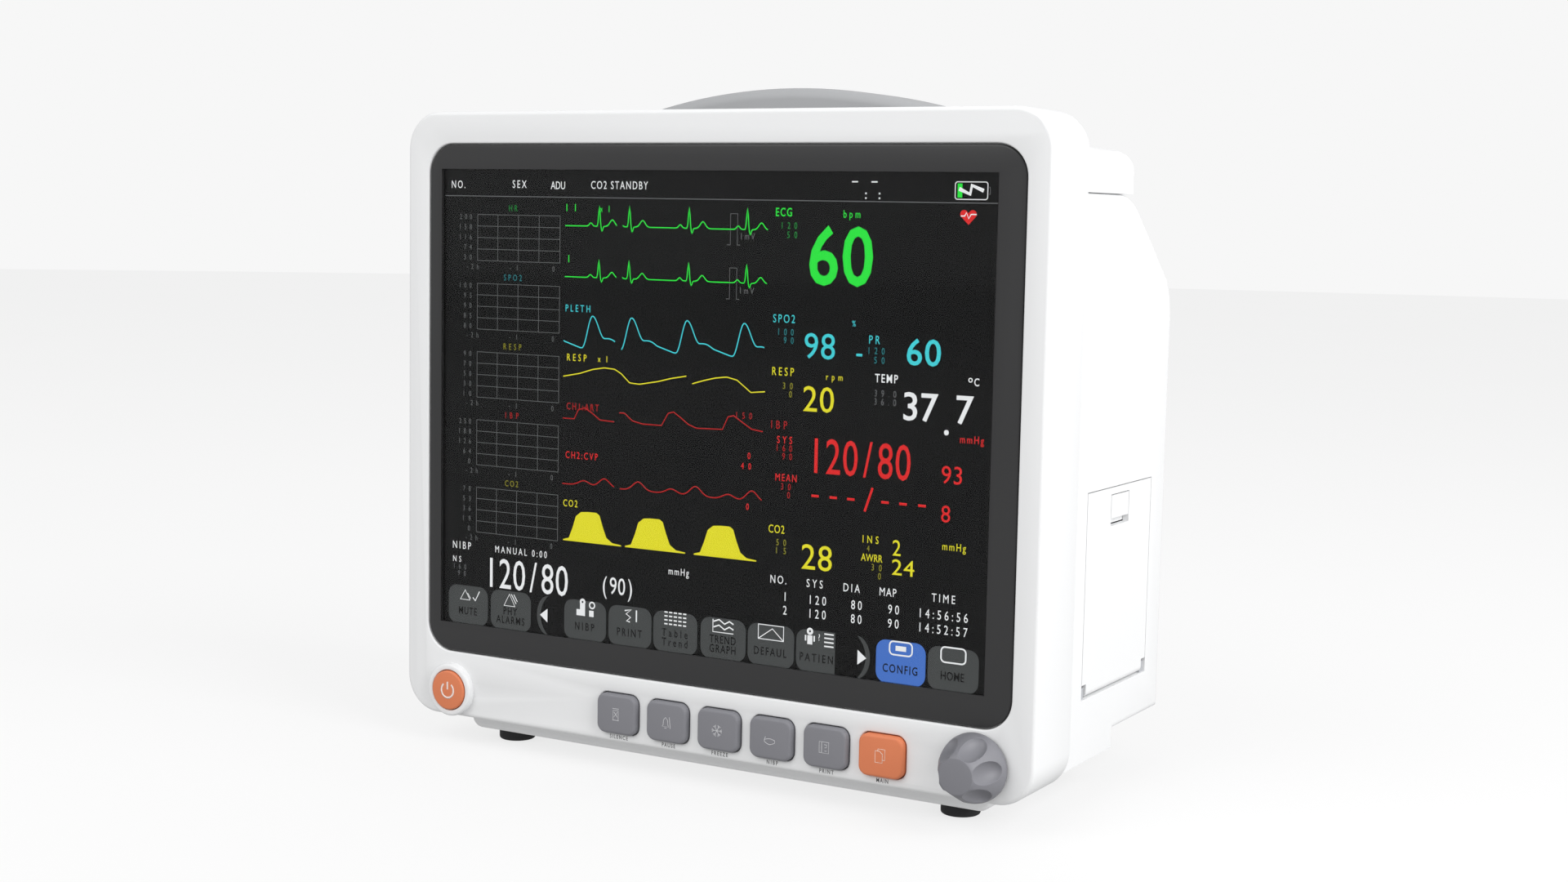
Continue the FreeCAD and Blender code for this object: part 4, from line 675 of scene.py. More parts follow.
def plate(points, paint, layer=0.0):
    # a flat filled shape
    level = [spot(column, row) for column, row in points]
    mesh = bpy.data.meshes.new("plate")
    mesh.from_pydata(level, [], [range(len(level))])
    shape = bpy.data.objects.new("plate", mesh)
    bpy.context.scene.collection.objects.link(shape)
    only(shape)
    bpy.ops.object.mode_set(mode="EDIT")
    bpy.ops.mesh.select_all(action="SELECT")
    bpy.ops.mesh.extrude_region_move(TRANSFORM_OT_translate={"value": (0, -display["ink"] / 2, 0)})
    bpy.ops.mesh.select_all(action="SELECT")
    bpy.ops.mesh.normals_make_consistent(inside=False)
    bpy.ops.object.mode_set(mode="OBJECT")
    keepInk(shape, paint, layer)


def arc(column, row, radius, start, end, steps=12, tall=None):
    # points on part of a circle, or of an ellipse when tall is given; angles in degrees
    tall = tall or radius
    turns = [math.radians(start + (end - start) * step / steps) for step in range(steps + 1)]
    return [(column + radius * math.cos(turn), row - tall * math.sin(turn)) for turn in turns]


def bulge(distance, width):
    return math.exp(-(distance / width) ** 2)


# the traces' columns, with the gap that sweeps along them
waves = {"left": 194, "right": 496, "gapLeft": 276, "gapRight": 284}
# each wave of one heart beat: its share of the height, how far from the spike, and its width
heartWaves = ((1.0, 0, 1.6), (0.16, -13, 3.2), (0.32, 20, 5.2), (-0.25, 4.2, 1.5))


def heartTrace(baseline, beats, high):
    def level(column):
        return baseline - sum(high * share * bulge(column - beat - away, width)
                              for beat in beats for share, away, width in heartWaves)
    for first, last in ((waves["left"] + 1, waves["gapLeft"]), (waves["gapRight"], waves["right"] + 1)):
        line([(column, level(column)) for column in range(first, last)], "litGreen")


# one pulse in columns: its rise, its fall and its run-down; the fall stops part of the way down
pulse = {"rise": 16, "fall": 19, "run": 48, "left": 0.32, "slope": 0.34, "echo": 0.06, "echoes": 2.4}


def pulseLevel(column, beats, high, low):
    # steep rise, quick fall, a second small wave and a slow run-down
    after = min(column - beat for beat in beats if column >= beat)
    deep, rise, fall = low - high, pulse["rise"], pulse["fall"]
    if after < rise:
        return low - deep * (1 - math.cos(math.pi * after / rise)) / 2
    if after < rise + fall:
        return high + deep * (1 - pulse["left"]) * (1 - math.cos(math.pi * (after - rise) / fall)) / 2
    run = (after - rise - fall) / pulse["run"]
    echo = pulse["echo"] * math.sin(math.pi * min(run * pulse["echoes"], 1))
    return low - deep * (pulse["left"] - pulse["slope"] * run + echo)


def sweeps(step):
    # the columns of the two stretches of a trace
    return (range(waves["left"], waves["gapLeft"], step), range(waves["gapRight"], waves["right"], step))


def drawPulse(beats, high, low, paint):
    for columns in sweeps(2):
        line([(column, min(low, pulseLevel(column, beats, high, low))) for column in columns], paint, 1.5)


def drawWaves():
    beats = (248, 294, 383, 467)
    heartTrace(69, beats, 26)
    heartTrace(134, beats, 23)
    ink("II", 204, 46, 9, "litGreen", weight=0.01)
    ink("x1", 256, 47, 8, "litGreen")
    ink("I", 201, 111, 9, "litGreen", pitch=5, weight=0.01)
    for row in (50, 116):
        line([(438, row + 38), (443, row + 38), (443, row), (453, row), (453, row + 38), (457, row + 38)],
             "litGrey", 0.9)
        ink("1mV", 468, row + 27, 8, "litGrey", pitch=7)
    drawPulse((140, 223, 283, 366, 449), 183, 224, "litCyan")
    ink("PLETH", 216, 174, 9, "litCyan")
    line([(194, 262), (220, 257), (240, 251), (258, 248), (274, 249), (284, 254), (297, 265), (312, 266),
          (340, 261), (360, 256), (382, 252)], "litYellow")
    line([(391, 261), (408, 256), (425, 252), (441, 250), (456, 253), (476, 267), (496, 265)], "litYellow")
    ink("RESP", 215, 237, 9, "litYellow")
    ink("x1", 255, 237, 8, "litYellow")
    line([(194, 316), (212, 316), (218, 304), (228, 301), (240, 307), (252, 315), (274, 316)],
         "litDimRed", 1.5)
    line([(282, 304), (290, 304), (302, 313), (318, 316), (346, 316), (356, 300), (364, 298), (374, 304),
          (386, 312), (398, 316), (436, 315), (444, 299), (452, 297), (464, 304), (478, 312), (494, 314)],
         "litDimRed", 1.5)
    ink("CH1:ART", 225, 300, 9, "litDimRed", pitch=7.4)
    ink("150", 467, 296, 8, "litDimRed")
    ink("CH2:CVP", 224, 363, 9, "litRed", pitch=7.4)
    ink("0", 475, 345, 8, "litRed")
    ink("40", 471, 358, 8, "litRed")
    ink("0", 474, 408, 8, "litRed")
    bumps = ((228, 6), (260, 11), (312, 11), (362, 6), (398, 12), (446, 6), (480, 13))
    for columns in sweeps(3):
        line([(column, 401 - sum(high * bulge(column - middle, 11) for middle, high in bumps))
              for column in columns], "litDimRed", 1.5)
    ink("CO2", 207, 426, 9, "litYellow")
    for left, right in ((205, 253), (302, 350), (406, 454)):
        plate([(left - 9, 475), (left - 9, 473.5), (left, 471), (left + 6, 457), (left + 11, 442),
               (left + 19, 436), (left + 30, 435), (right - 5, 435), (right, 438), (right + 5, 452),
               (right + 11, 466), (right + 20, 472), (right + 34, 473.5), (right + 34, 475)], "litYellow")


def drawTrends():
    titles = (("HR", "litDimGreen", ("200", "158", "116", "74", "30")),
              ("SPO2", "litDimCyan", ("100", "95", "90", "85", "80")),
              ("RESP", "litDimYellow", ("90", "70", "50", "30", "10")),
              ("IBP", "litDimRed", ("250", "188", "126", "64", "0")),
              ("CO2", "litDimYellow", ("70", "53", "36", "19", "0")))
    left, right, tall, gap = 54, 187, 60, 90
    for index, (title, paint, marks) in enumerate(titles):
        top = 57 + index * gap
        ink(title, 112, top - 9, 8, paint, pitch=7.6)
        for step in range(5):
            row = top + tall * step / 4
            column = left + (right - left) * step / 4
            line([(left, row), (right, row)], "litDim", 0.75)
            line([(column, top), (column, top + tall)], "litDim", 0.75)
            ink(marks[step], 45, top + 3 + (tall - 7) * step / 4, 7, "litDim", pitch=7, anchor=1.0)
        for mark, column in (("-2h", 46), ("-1", 113), ("0", 177)):
            ink(mark, column, top + tall + 8, 7, "litDim", pitch=7)


def drawReadouts():
    # names and units: text, column, row, height, paint, pitch, weight
    for text, column, row, height, paint, pitch, weight in (
            ("ECG", 518, 47, 10, "litGreen", 8, 0.01), ("bpm", 611, 48, 9, "litGreen", 8, 0),
            ("SPO2", 521, 175, 10, "litCyan", 8, 0), ("%", 617, 177, 7, "litCyan", 9, 0),
            ("PR", 645, 195, 10, "litCyan", 8, 0), ("RESP", 521, 239, 10, "litYellow", 8, 0),
            ("rpm", 592, 242, 8, "litYellow", 8, 0), ("TEMP", 662, 240, 10, "litWhite", 8, 0.01),
            ("C", 779, 238, 9, "litWhite", 8, 0.01), ("IBP", 517, 304, 10, "litDimRed", 8, 0),
            ("SYS", 525, 322, 9, "litRed", 7.6, 0), ("mmHg", 775, 305, 9, "litRed", 8, 0),
            ("MEAN", 528, 368, 9, "litRed", 7.8, 0), ("CO2", 516, 432, 10, "litYellow", 8, 0),
            ("INS", 646, 433, 9, "litYellow", 7.6, 0), ("4", 643, 444, 7, "litDimYellow", 7, 0),
            ("AWRR", 648, 455, 9, "litYellow", 7.6, 0), ("mmHg", 756, 432, 9, "litYellow", 8, 0)):
        ink(text, column, row, height, paint, pitch=pitch, weight=weight)
    # alarm limits, high over low
    for paint, column, row, high, low, gap in (
            ("litDimGreen", 526, 63, "120", "50", 11), ("litDimCyan", 524, 191, "100", "90", 10),
            ("litDimCyan", 648, 208, "120", "50", 11), ("litDimYellow", 528, 256, "30", "0", 10),
            ("litDimRed", 525, 332, "160", "90", 10), ("litDimRed", 528, 379, "30", "0", 10),
            ("litDimYellow", 655, 466, "30", "0", 10)):
        ink(high, column, row, 8, paint, pitch=7.6)
        ink(low, column + 4, row + gap, 8, paint, pitch=7.6)
    for text, column, row, paint in (("39.0", 661, 258, "litGrey"), ("36.0", 661, 268, "litGrey"),
                                     ("50", 523, 448, "litDimYellow"), ("15", 523, 458, "litDimYellow")):
        ink(text, column, row, 8, paint, pitch=7.6)
    # figures: text, column, row, height, paint, pitch, weight
    for text, column, row, height, paint, pitch, weight in (
            ("60", 597, 98, 69, "litGreen", 46, 0.012), ("98", 571, 206, 31, "litCyan", 23, 0),
            ("60", 710, 207, 31, "litCyan", 24, 0.008), ("20", 571, 270, 31, "litYellow", 23, 0),
            ("37", 707, 271, 33, "litWhite", 25, 0.008), (".", 742, 285, 33, "litWhite", 24, 0.008),
            ("7", 765, 271, 33, "litWhite", 25, 0.008), ("120/80", 628, 338, 43, "litRed", 23.5, 0),
            ("93", 751, 348, 21, "litRed", 15, 0), ("8", 744, 394, 20, "litRed", 14, 0),
            ("28", 573, 462, 31, "litYellow", 23, 0), ("2", 681, 440, 19, "litYellow", 13, 0),
            ("24", 690, 463, 19, "litYellow", 16, 0)):
        digits(text, column, row, height, paint, pitch, weight)
    line([(621, 214), (629, 214)], "litCyan", 3)
    line(arc(771, 236, 2.2, 0, 330), "litWhite", 1.2, closed=True)
    for column in (569, 594, 618, 664, 688, 713):
        line([(column - 5, 387), (column + 5, 387)], "litRed", 3)
    line([(637, 400), (647, 371)], "litRed", 3)


def drawTables():
    for title, column in (("NO.", 520), ("SYS", 571), ("DIA", 622), ("MAP", 671), ("TIME", 744)):
        ink(title, column, 494, 10, "litWhite")
    for row, number, time in ((514, "1", "14:56:56"), (531, "2", "14:52:57")):
        for figures, column in ((number, 530), ("120", 576), ("80", 629), ("90", 679), (time, 745)):
            ink(figures, column, row, 11, "litWhite")
    ink("NIBP", 30, 497, 10, "litWhite")
    ink("MANUAL 0:00", 128, 497, 9, "litWhite", pitch=7.8)
    ink("NS", 22, 516, 8, "litWhite", pitch=7.6)
    ink("160", 27, 526, 7, "litGrey", pitch=7.4)
    ink("90", 30, 535, 7, "litGrey", pitch=7.4)
    digits("120/80", 137, 529, 40, "litWhite", 23)
    digits("(90)", 282, 527, 22, "litWhite", 13)
    ink("mmHg", 375, 499, 9, "litWhite", pitch=8)
    ink("NO.", 22, 18, 10, "litWhite")
    ink("SEX", 122, 17, 10, "litWhite")
    ink("ADU", 183, 18, 10, "litWhite")
    ink("CO2 STANDBY", 278, 17, 10, "litWhite")
    line([(0, 33), (799, 33)], "litGrey", 1.1)
    for column in (614, 640):
        line([(column - 4, 10), (column + 4, 10)], "litWhite", 1.6)
    for column in (629, 647):
        line([(column, 22.5), (column, 24.5)], "litWhite", 2)
        line([(column, 28), (column, 30)], "litWhite", 2)
    line([(747, 9), (784, 9), (786, 11), (786, 27), (784, 29), (747, 29), (745, 27), (745, 11)],
         "litWhite", 1.1, closed=True)
    line([(786, 15), (789, 15), (789, 23), (786, 23)], "litGrey", 1.1)
    plate([(748, 11), (754, 11), (754, 27), (748, 27)], "litGreen")
    line([(750, 17), (764, 23), (766, 13), (781, 19)], "litWhite", 4.5, layer=display["onTop"])
    plate(arc(757, 46, 5, 200, 20, 8) + arc(768, 46, 5, 160, -20, 8) + [(763, 58)], "litRed")
    line([(753, 48), (758, 48), (760, 44), (763, 51), (766, 46), (773, 46)], "litWhite",
         layer=display["onTop"])


def keyPlate(column, wide, paint, lost=0):
    # a soft key; lost is the width cut from its right side
    row, tall, corner = 577, 52, 13
    left, right = column - wide / 2, column + wide / 2
    top, bottom = row - tall / 2, row + tall / 2
    points = arc(left + corner, top + corner, corner, 180, 90, 5)
    if lost:
        points += [(right - lost, top), (right - lost, bottom)]
    else:
        points += arc(right - corner, top + corner, corner, 90, 0, 5)
        points += arc(right - corner, bottom - corner, corner, 0, -90, 5)
    points += arc(left + corner, bottom - corner, corner, 270, 180, 5)
    plate(points, paint)


def mark(points, column, row, width=1.3, closed=False, paint="litWhite"):
    line([(column + x, row + y) for x, y in points], paint, width, closed, layer=display["onTop"])


def drawSoftKeys():
    softWords = ((41, ("MUTE",)), (112, ("PHY", "ALARMS")), (232, ("NIBP",)), (302, ("PRINT",)),
                 (371, ("Table", "Trend")), (442, ("TREND", "GRAPH")), (511, ("DEFAULT",)),
                 (580, ("PATIENT",)), (690, ("CONFIG",)), (759, ("HOME",)))
    for column, words in softWords:
        paint = "litBlue" if words[0] == "CONFIG" else "litButton"
        lost = 12 if words[0] == "PATIENT" else 0
        keyPlate(column, 66, paint, lost)
        for index, word in enumerate(words):
            row = 585 if len(words) == 1 else 578 + index * 12
            # a soft key has room for six letters
            ink(word[:6], column - 0.5 - lost / 3, row, 10, "litInkDark", weight=0.012,
                layer=display["onTop"])
    mark([(-8, 6), (0, -7), (8, 6)], 36, 564, 1.5, True)
    mark([(4, -3), (9, 4)], 36, 564, 1.2)
    mark([(13, 2), (17, 6), (24, -7)], 36, 564, 1.6)
    mark([(-9, 8), (0, -8), (9, 8)], 110, 563, 1.5, True)
    mark([(3, -8), (11, 4)], 110, 563, 1.2)
    mark([(7, -8), (13, 1)], 110, 563, 1.2)
    for side, column in ((1, 167), (-1, 637)):
        moon = arc(6, 577, 18, 90, 270, 14, 26) + arc(28, 577, 34, 228, 132, 10, 34)
        plate([(column + x * side, row) for x, row in moon], "litButton")
        plate([(column - 7 * side, 577), (column + 5 * side, 568), (column + 5 * side, 586)],
              "litWhite", display["onTop"])
    for away in (-10, 10):
        mark([(away, 0), (away, 8)], 232, 563, 7)
    mark([(0, -8), (0, 8)], 228, 563, 8)
    mark(arc(0, 0, 3, 0, 330), 228, 553, 3, True)
    mark(arc(0, 0, 4, 0, 330), 243, 556, 2, True)
    mark([(-5, -6), (5, -8), (-3, -2), (4, 2), (-2, 7), (3, 8)], 299, 563, 1.8)
    mark([(0, -8), (0, 7)], 312, 563, 2)
    for row in (-8, -3, 2, 7):
        for x in (-14, -7, 0, 7, 14):
            mark([(x - 2.4, row), (x + 2.4, row)], 371, 560, 1.8)
    mark([(-15, -9), (-15, 7), (15, 7)], 442, 562, 1.2)
    for row in (-5, 2):
        mark([(-14, row), (-6, row - 3), (2, row + 2), (9, row - 2), (15, row + 1)], 442, 561, 1.8)
    mark([(-18, -9), (18, -9), (18, 9), (-18, 9)], 511, 561, 1.4, True)
    mark([(-18, 9), (2, -5), (18, 9)], 511, 561, 1.2)
    mark(arc(0, 0, 3, 0, 330), 566, 553, 3, True)
    mark([(0, 5), (0, 16)], 566, 553, 7)
    mark([(-6, 5), (-6, 12)], 566, 553, 2)
    mark([(6, 5), (6, 12)], 566, 553, 2)
    for row in (-7, -2, 3, 8):
        mark([(0, row), (13, row)], 586, 561, 1.8)
    ink("?", 579, 559, 8, "litWhite", pitch=6, layer=display["onTop"])
    for column, wide, tall in ((690, 15, 8), (759, 16, 9)):
        corners = arc(wide - 5, tall - 5, 5, 0, -90, 4) + arc(5 - wide, tall - 5, 5, -90, -180, 4)
        corners += arc(5 - wide, 5 - tall, 5, 180, 90, 4) + arc(wide - 5, 5 - tall, 5, 90, 0, 4)
        mark(corners, column, 560, 1.9, True)
    mark([(-7, 0), (7, 0)], 690, 560, 6)


def makeDisplay():
    drawWaves()
    drawTrends()
    drawReadouts()
    drawTables()
    drawSoftKeys()
    for paint, shapes in inks.items():
        piece = join("display_" + paint, shapes)
        finish(piece, paint, "housing", smooth=0)
    print("display drawn")


controls = {
    "flange": 0.0055, "flangeBack": 0.0067, "flangeExtra": 0.0008, "tipRadius": 0.0016, "lap": 0.0002,
    "keyCorner": 0.0035, "keyEdge": 0.0011, "mark": 0.0003, "markThick": 0.00005,
    "labelHeight": 0.00155, "labelDrop": 0.00165, "labelPitch": 0.00122, "labelNarrow": 0.8,
}
keyWords = ("SILENCE", "PAUSE", "FREEZE", "NIBP", "PRINT", "MAIN")


# each sign is a list of strokes in millimetres round the key's centre, and whether each one is closed
def lampMark():
    return [([(-1.5, -2.3), (1.5, -2.3)], False), ([(-1.5, 2.3), (1.5, 2.3)], False),
            ([(-1.2, -2.3), (-1.2, 1.6), (1.2, 1.6), (1.2, -2.3)], False),
            ([(-0.8, -1), (0.8, 1)], False), ([(-0.8, 1), (0.8, -1)], False)]


def bellMark():
    return [([(-1.6, -1.6), (-1.1, -1), (-0.9, 1), (0, 2), (0.9, 1), (1.1, -1), (1.6, -1.6)], True),
            ([(-0.5, -2.2), (0.5, -2.2)], False), ([(1.7, 2.3), (2.2, -2.2)], False)]


def flakeMark():
    made = []
    for turn in range(6):
        angle = math.radians(60 * turn)
        along, side = Vector((math.cos(angle), math.sin(angle))), Vector((-math.sin(angle), math.cos(angle)))
        made.append(([(0, 0), tuple(along * 2.3)], False))
        made.append(([tuple(along * 2.2 + side * 0.7), tuple(along * 1.4), tuple(along * 2.2 - side * 0.7)],
                     False))
    return made


def cuffMark():
    low = [(x * 0.45, -1.2 - 0.9 * math.sin(math.pi * (x + 5) / 10)) for x in range(-5, 6)]
    high = [(x * 0.45, -0.4 + 0.5 * math.sin(math.pi * (5 - x) / 10)) for x in range(5, -6, -1)]
    return [(low + high, True), ([(-2.4, -0.7), (-1.8, 0.8)], False)]


def printMark():
    return [([(-2, -2), (2, -2), (2, 2.2), (-2, 2.2)], True), ([(-1, -2), (-1, 2.2)], False),
            ([(0.1, 1.2), (1.1, 1.2), (1.1, 0.2), (0.3, 0)], False), ([(0.3, -1.2), (1.2, -1.2)], False)]


def pagesMark():
    return [([(-2, -2.3), (1, -2.3), (1, 1), (-0.2, 2), (-2, 2)], True),
            ([(-0.9, 2), (-0.9, 2.8), (2, 2.8), (2, -1.2), (1, -1.2)], False)]


keyMarks = (lampMark, bellMark, flakeMark, cuffMark, printMark, pagesMark)


def unite(piece, *others):
    for other in others:
        only(piece)
        blend = piece.modifiers.new("blend", "BOOLEAN")
        blend.operation = "UNION"
        blend.solver = "EXACT"
        blend.object = other
        bpy.ops.object.modifier_apply(modifier="blend")
        bpy.data.objects.remove(other, do_unlink=True)


def makeKey(name, word, drawMark):
    low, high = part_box(name)
    left, right, bottom, top = keySpan(name)
    flange, back = faceY + controls["flange"], faceY + controls["flangeBack"]
    cap = roundedBlock(name + "_cap", (left, low[1], bottom), (right, flange + controls["lap"], top), 1,
                       controls["keyCorner"], 7)
    bevelEdges(cap, liesAt(1, low[1]), controls["keyEdge"], 5)
    extra = controls["flangeExtra"]
    skirt = roundedBlock("skirt", (left - extra, flange, bottom - extra), (right + extra, back, top + extra),
                         1, controls["keyCorner"] + extra, 5)
    middle = ((left + right) / 2, (bottom + top) / 2)
    peg = addRod("peg", middle, controls["tipRadius"], 1, back - controls["lap"], high[1], 24)
    unite(cap, skirt, peg)
    orange = name == "main_key"
    finish(cap, "keyOrange" if orange else "keyGrey", name, [name])
    thick = controls["markThick"]
    strokes = []
    for points, closed in drawMark():
        places = [Vector((middle[0] + x * mm, low[1] - thick / 4, middle[1] + z * mm)) for x, z in points]
        strokes.append(flatStroke(places, controls["mark"], thick, closed))
    sign = join(name + "_mark", strokes)
    finish(sign, "orangeMark" if orange else "keyMark", name, smooth=0)
    wide = controls["labelPitch"] * len(word)
    place = (middle[0], faceY - thick / 4, bottom - controls["labelDrop"])
    return flatText(word, place, controls["labelHeight"], thick, controls["labelNarrow"], wide, 0.01)


def makeKeys():
    labels = [makeKey(name, word, drawMark)
              for name, word, drawMark in zip(keyNames, keyWords, keyMarks)]
    finish(join("key_labels", labels), "labelInk", "housing", smooth=0)
    print("keys made")


power = {
    "ringRadius": 0.0109, "ringInner": 0.00845, "ringEdge": 0.0011, "radius": 0.00815, "edge": 0.0008,
    "cap": 0.0022, "stem": 0.003, "clip": 0.0044, "signRadius": 0.0031, "signWidth": 0.0009,
    "holeEdge": 0.0004, "signStart": 128, "signSweep": 284, "signSteps": 28, "barLow": 0.0004,
    "barHigh": 1.16,
}


def circleAt(level, radius, middle):
    # accepts edges in the plane y = level whose ends are that far from the axis
    def wanted(a, b):
        ends = [math.hypot(point.x - middle[0], point.z - middle[1]) for point in (a, b)]
        return liesAt(1, level)(a, b) and all(abs(end - radius) < 1e-4 for end in ends)
    return wanted


def makePower():
    low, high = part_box("power_button")
    ringLow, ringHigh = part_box("power_ring")
    middle = middleXZ("power_button")
    ring = addRod("powerRing", middle, power["ringRadius"], 1, ringLow[1], ringHigh[1], 72)
    bevelEdges(ring, circleAt(ringLow[1], power["ringRadius"], middle), power["ringEdge"], 5)
    cutAway(ring, addRod("hole", middle, power["ringInner"], 1, ringLow[1] - past, ringHigh[1] + past, 72))
    bevelEdges(ring, circleAt(ringLow[1], power["ringInner"], middle), power["holeEdge"], 3)
    finish(ring, "bezelWhite", "housing", ["power_ring"])
    cap = addRod("powerCap", middle, power["radius"], 1, low[1], low[1] + power["cap"], 72)
    bevelEdges(cap, circleAt(low[1], power["radius"], middle), power["edge"], 4)
    flange, back = faceY + controls["flange"], faceY + controls["flangeBack"]
    lap = controls["lap"]
    stem = addRod("stem", middle, power["stem"], 1, low[1] + power["cap"] - lap, flange + lap, 40)
    clip = addRod("clip", middle, power["clip"], 1, flange, back, 40)
    tip = addRod("tip", middle, controls["tipRadius"], 1, back - lap, high[1], 24)
    unite(cap, stem, clip, tip)
    finish(cap, "keyOrange", "power_button", ["power_button"])
    thick = controls["markThick"]

    def point(x, z):
        return Vector((middle[0] + x, low[1] - thick / 4, middle[1] + z))
    steps = power["signSteps"]
    turns = [math.radians(power["signStart"] + power["signSweep"] * step / steps)
             for step in range(steps + 1)]
    radius = power["signRadius"]
    ringSign = flatStroke([point(radius * math.cos(turn), radius * math.sin(turn)) for turn in turns],
                          power["signWidth"], thick)
    bar = flatStroke([point(0, power["barLow"]), point(0, radius * power["barHigh"])],
                     power["signWidth"], thick)
    finish(join("power_mark", [ringSign, bar]), "powerMark", "power_button", smooth=0)
    print("power button made")


# the knob's radius and reach in millimetres; the flutes are stretched balls, given by radius and length
knob = {
    "profile": ((12.8, 1.0), (12.8, 2.6), (12.55, 3.9), (11.9, 6.2), (10.9, 9.0), (9.5, 12.2), (8.2, 14.8),
                (7.4, 16.2), (6.5, 16.85), (5.6, 17.0)),
    "flutes": 6, "fluteAt": (12.6, 17.0), "fluteSize": (6.1, 12.6), "bore": 0.003, "grip": 0.011,
    "firstFlute": 8.0, "soft": 0.00022,
}


def makeKnob():
    back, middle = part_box("selector_knob")[1][1], middleXZ("selector_knob")
    outline = [(radius * mm, faceY - reach * mm) for radius, reach in knob["profile"]]
    outline = [(0, outline[0][1])] + outline + [(0, outline[-1][1])]
    mesh = bpy.data.meshes.new("turned")
    mesh.from_pydata([(middle[0] + radius, y, middle[1]) for radius, y in outline],
                     [(index, index + 1) for index in range(len(outline) - 1)], [])
    turned = bpy.data.objects.new("selectorKnob", mesh)
    bpy.context.scene.collection.objects.link(turned)
    only(turned)
    spin = turned.modifiers.new("spin", "SCREW")
    spin.axis = "Y"
    spin.steps = 96
    spin.render_steps = 96
    spin.use_merge_vertices = True
    spin.merge_threshold = 1e-6
    pivot = bpy.data.objects.new("pivot", None)
    bpy.context.scene.collection.objects.link(pivot)
    pivot.location = (middle[0], 0, middle[1])
    spin.object = pivot
    bpy.context.view_layer.update()
    bpy.ops.object.modifier_apply(modifier="spin")
    bpy.data.objects.remove(pivot)
    only(turned)
    bpy.ops.object.mode_set(mode="EDIT")
    bpy.ops.mesh.select_all(action="SELECT")
    bpy.ops.mesh.remove_doubles(threshold=1e-6)
    bpy.ops.mesh.normals_make_consistent(inside=False)
    bpy.ops.object.mode_set(mode="OBJECT")
    away, reach = knob["fluteAt"]
    across, along = knob["fluteSize"]
    for index in range(knob["flutes"]):
        bpy.ops.object.select_all(action="DESELECT")
        bpy.ops.mesh.primitive_uv_sphere_add(segments=48, ring_count=32, radius=mm)
        scoop = bpy.context.object
        scoop.scale = (across, along, across)
        applyPlace(scoop)
        angle = math.radians(knob["firstFlute"] + 360 * index / knob["flutes"])
        scoop.location = (middle[0] + away * mm * math.cos(angle), faceY - reach * mm,
                          middle[1] + away * mm * math.sin(angle))
        applyPlace(scoop)
        cutAway(turned, scoop)
    cutAway(turned, addRod("bore", middle, knob["bore"], 1, back - knob["grip"], back + past, 48))
    softenEdges(turned, knob["soft"], 2, 28)
    finish(turned, "knobGrey", "selector_knob", ["selector_knob"], 26)
    print("knob made")


def outlineBlock(name, axis, points, low, high):
    # a prism along one axis; points give the two other coordinates in XYZ order
    corners = []
    for first, second in points:
        corner = [first, second]
        corner.insert(axis, low)
        corners.append(corner)
    mesh = bpy.data.meshes.new(name)
    mesh.from_pydata(corners, [], [range(len(corners))])
    prism = bpy.data.objects.new(name, mesh)
    bpy.context.scene.collection.objects.link(prism)
    only(prism)
    shift = [0, 0, 0]
    shift[axis] = high - low
    bpy.ops.object.mode_set(mode="EDIT")
    bpy.ops.mesh.select_all(action="SELECT")
    bpy.ops.mesh.extrude_region_move(TRANSFORM_OT_translate={"value": shift})
    bpy.ops.mesh.select_all(action="SELECT")
    bpy.ops.mesh.normals_make_consistent(inside=False)
    bpy.ops.object.mode_set(mode="OBJECT")
    return prism


shell = {
    "wall": 0.0028, "tailLow": 0.022, "tailY": 0.02825, "slopeY": 0.02925, "slopeZ": 0.194, "top": 0.231,
    "bezelBack": -0.03475, "edgeRound": 0.0025, "bendRound": 0.010, "openingLip": 0.0018, "panelRim": 0.003,
    "ventX": 0.109, "ventLow": 0.126, "ventPitch": 0.006, "vents": 7, "ventSize": (0.030, 0.0024),
    "ventRound": 0.0011, "posts": ((0.084, 0.038), (0.084, 0.176)), "screwHole": 0.00155,
    "screwRecess": 0.0031, "recessDepth": 0.0016, "insertAway": 0.050, "insertZ": 0.109,
    "insertHole": 0.0032, "studHole": 0.00405,
}


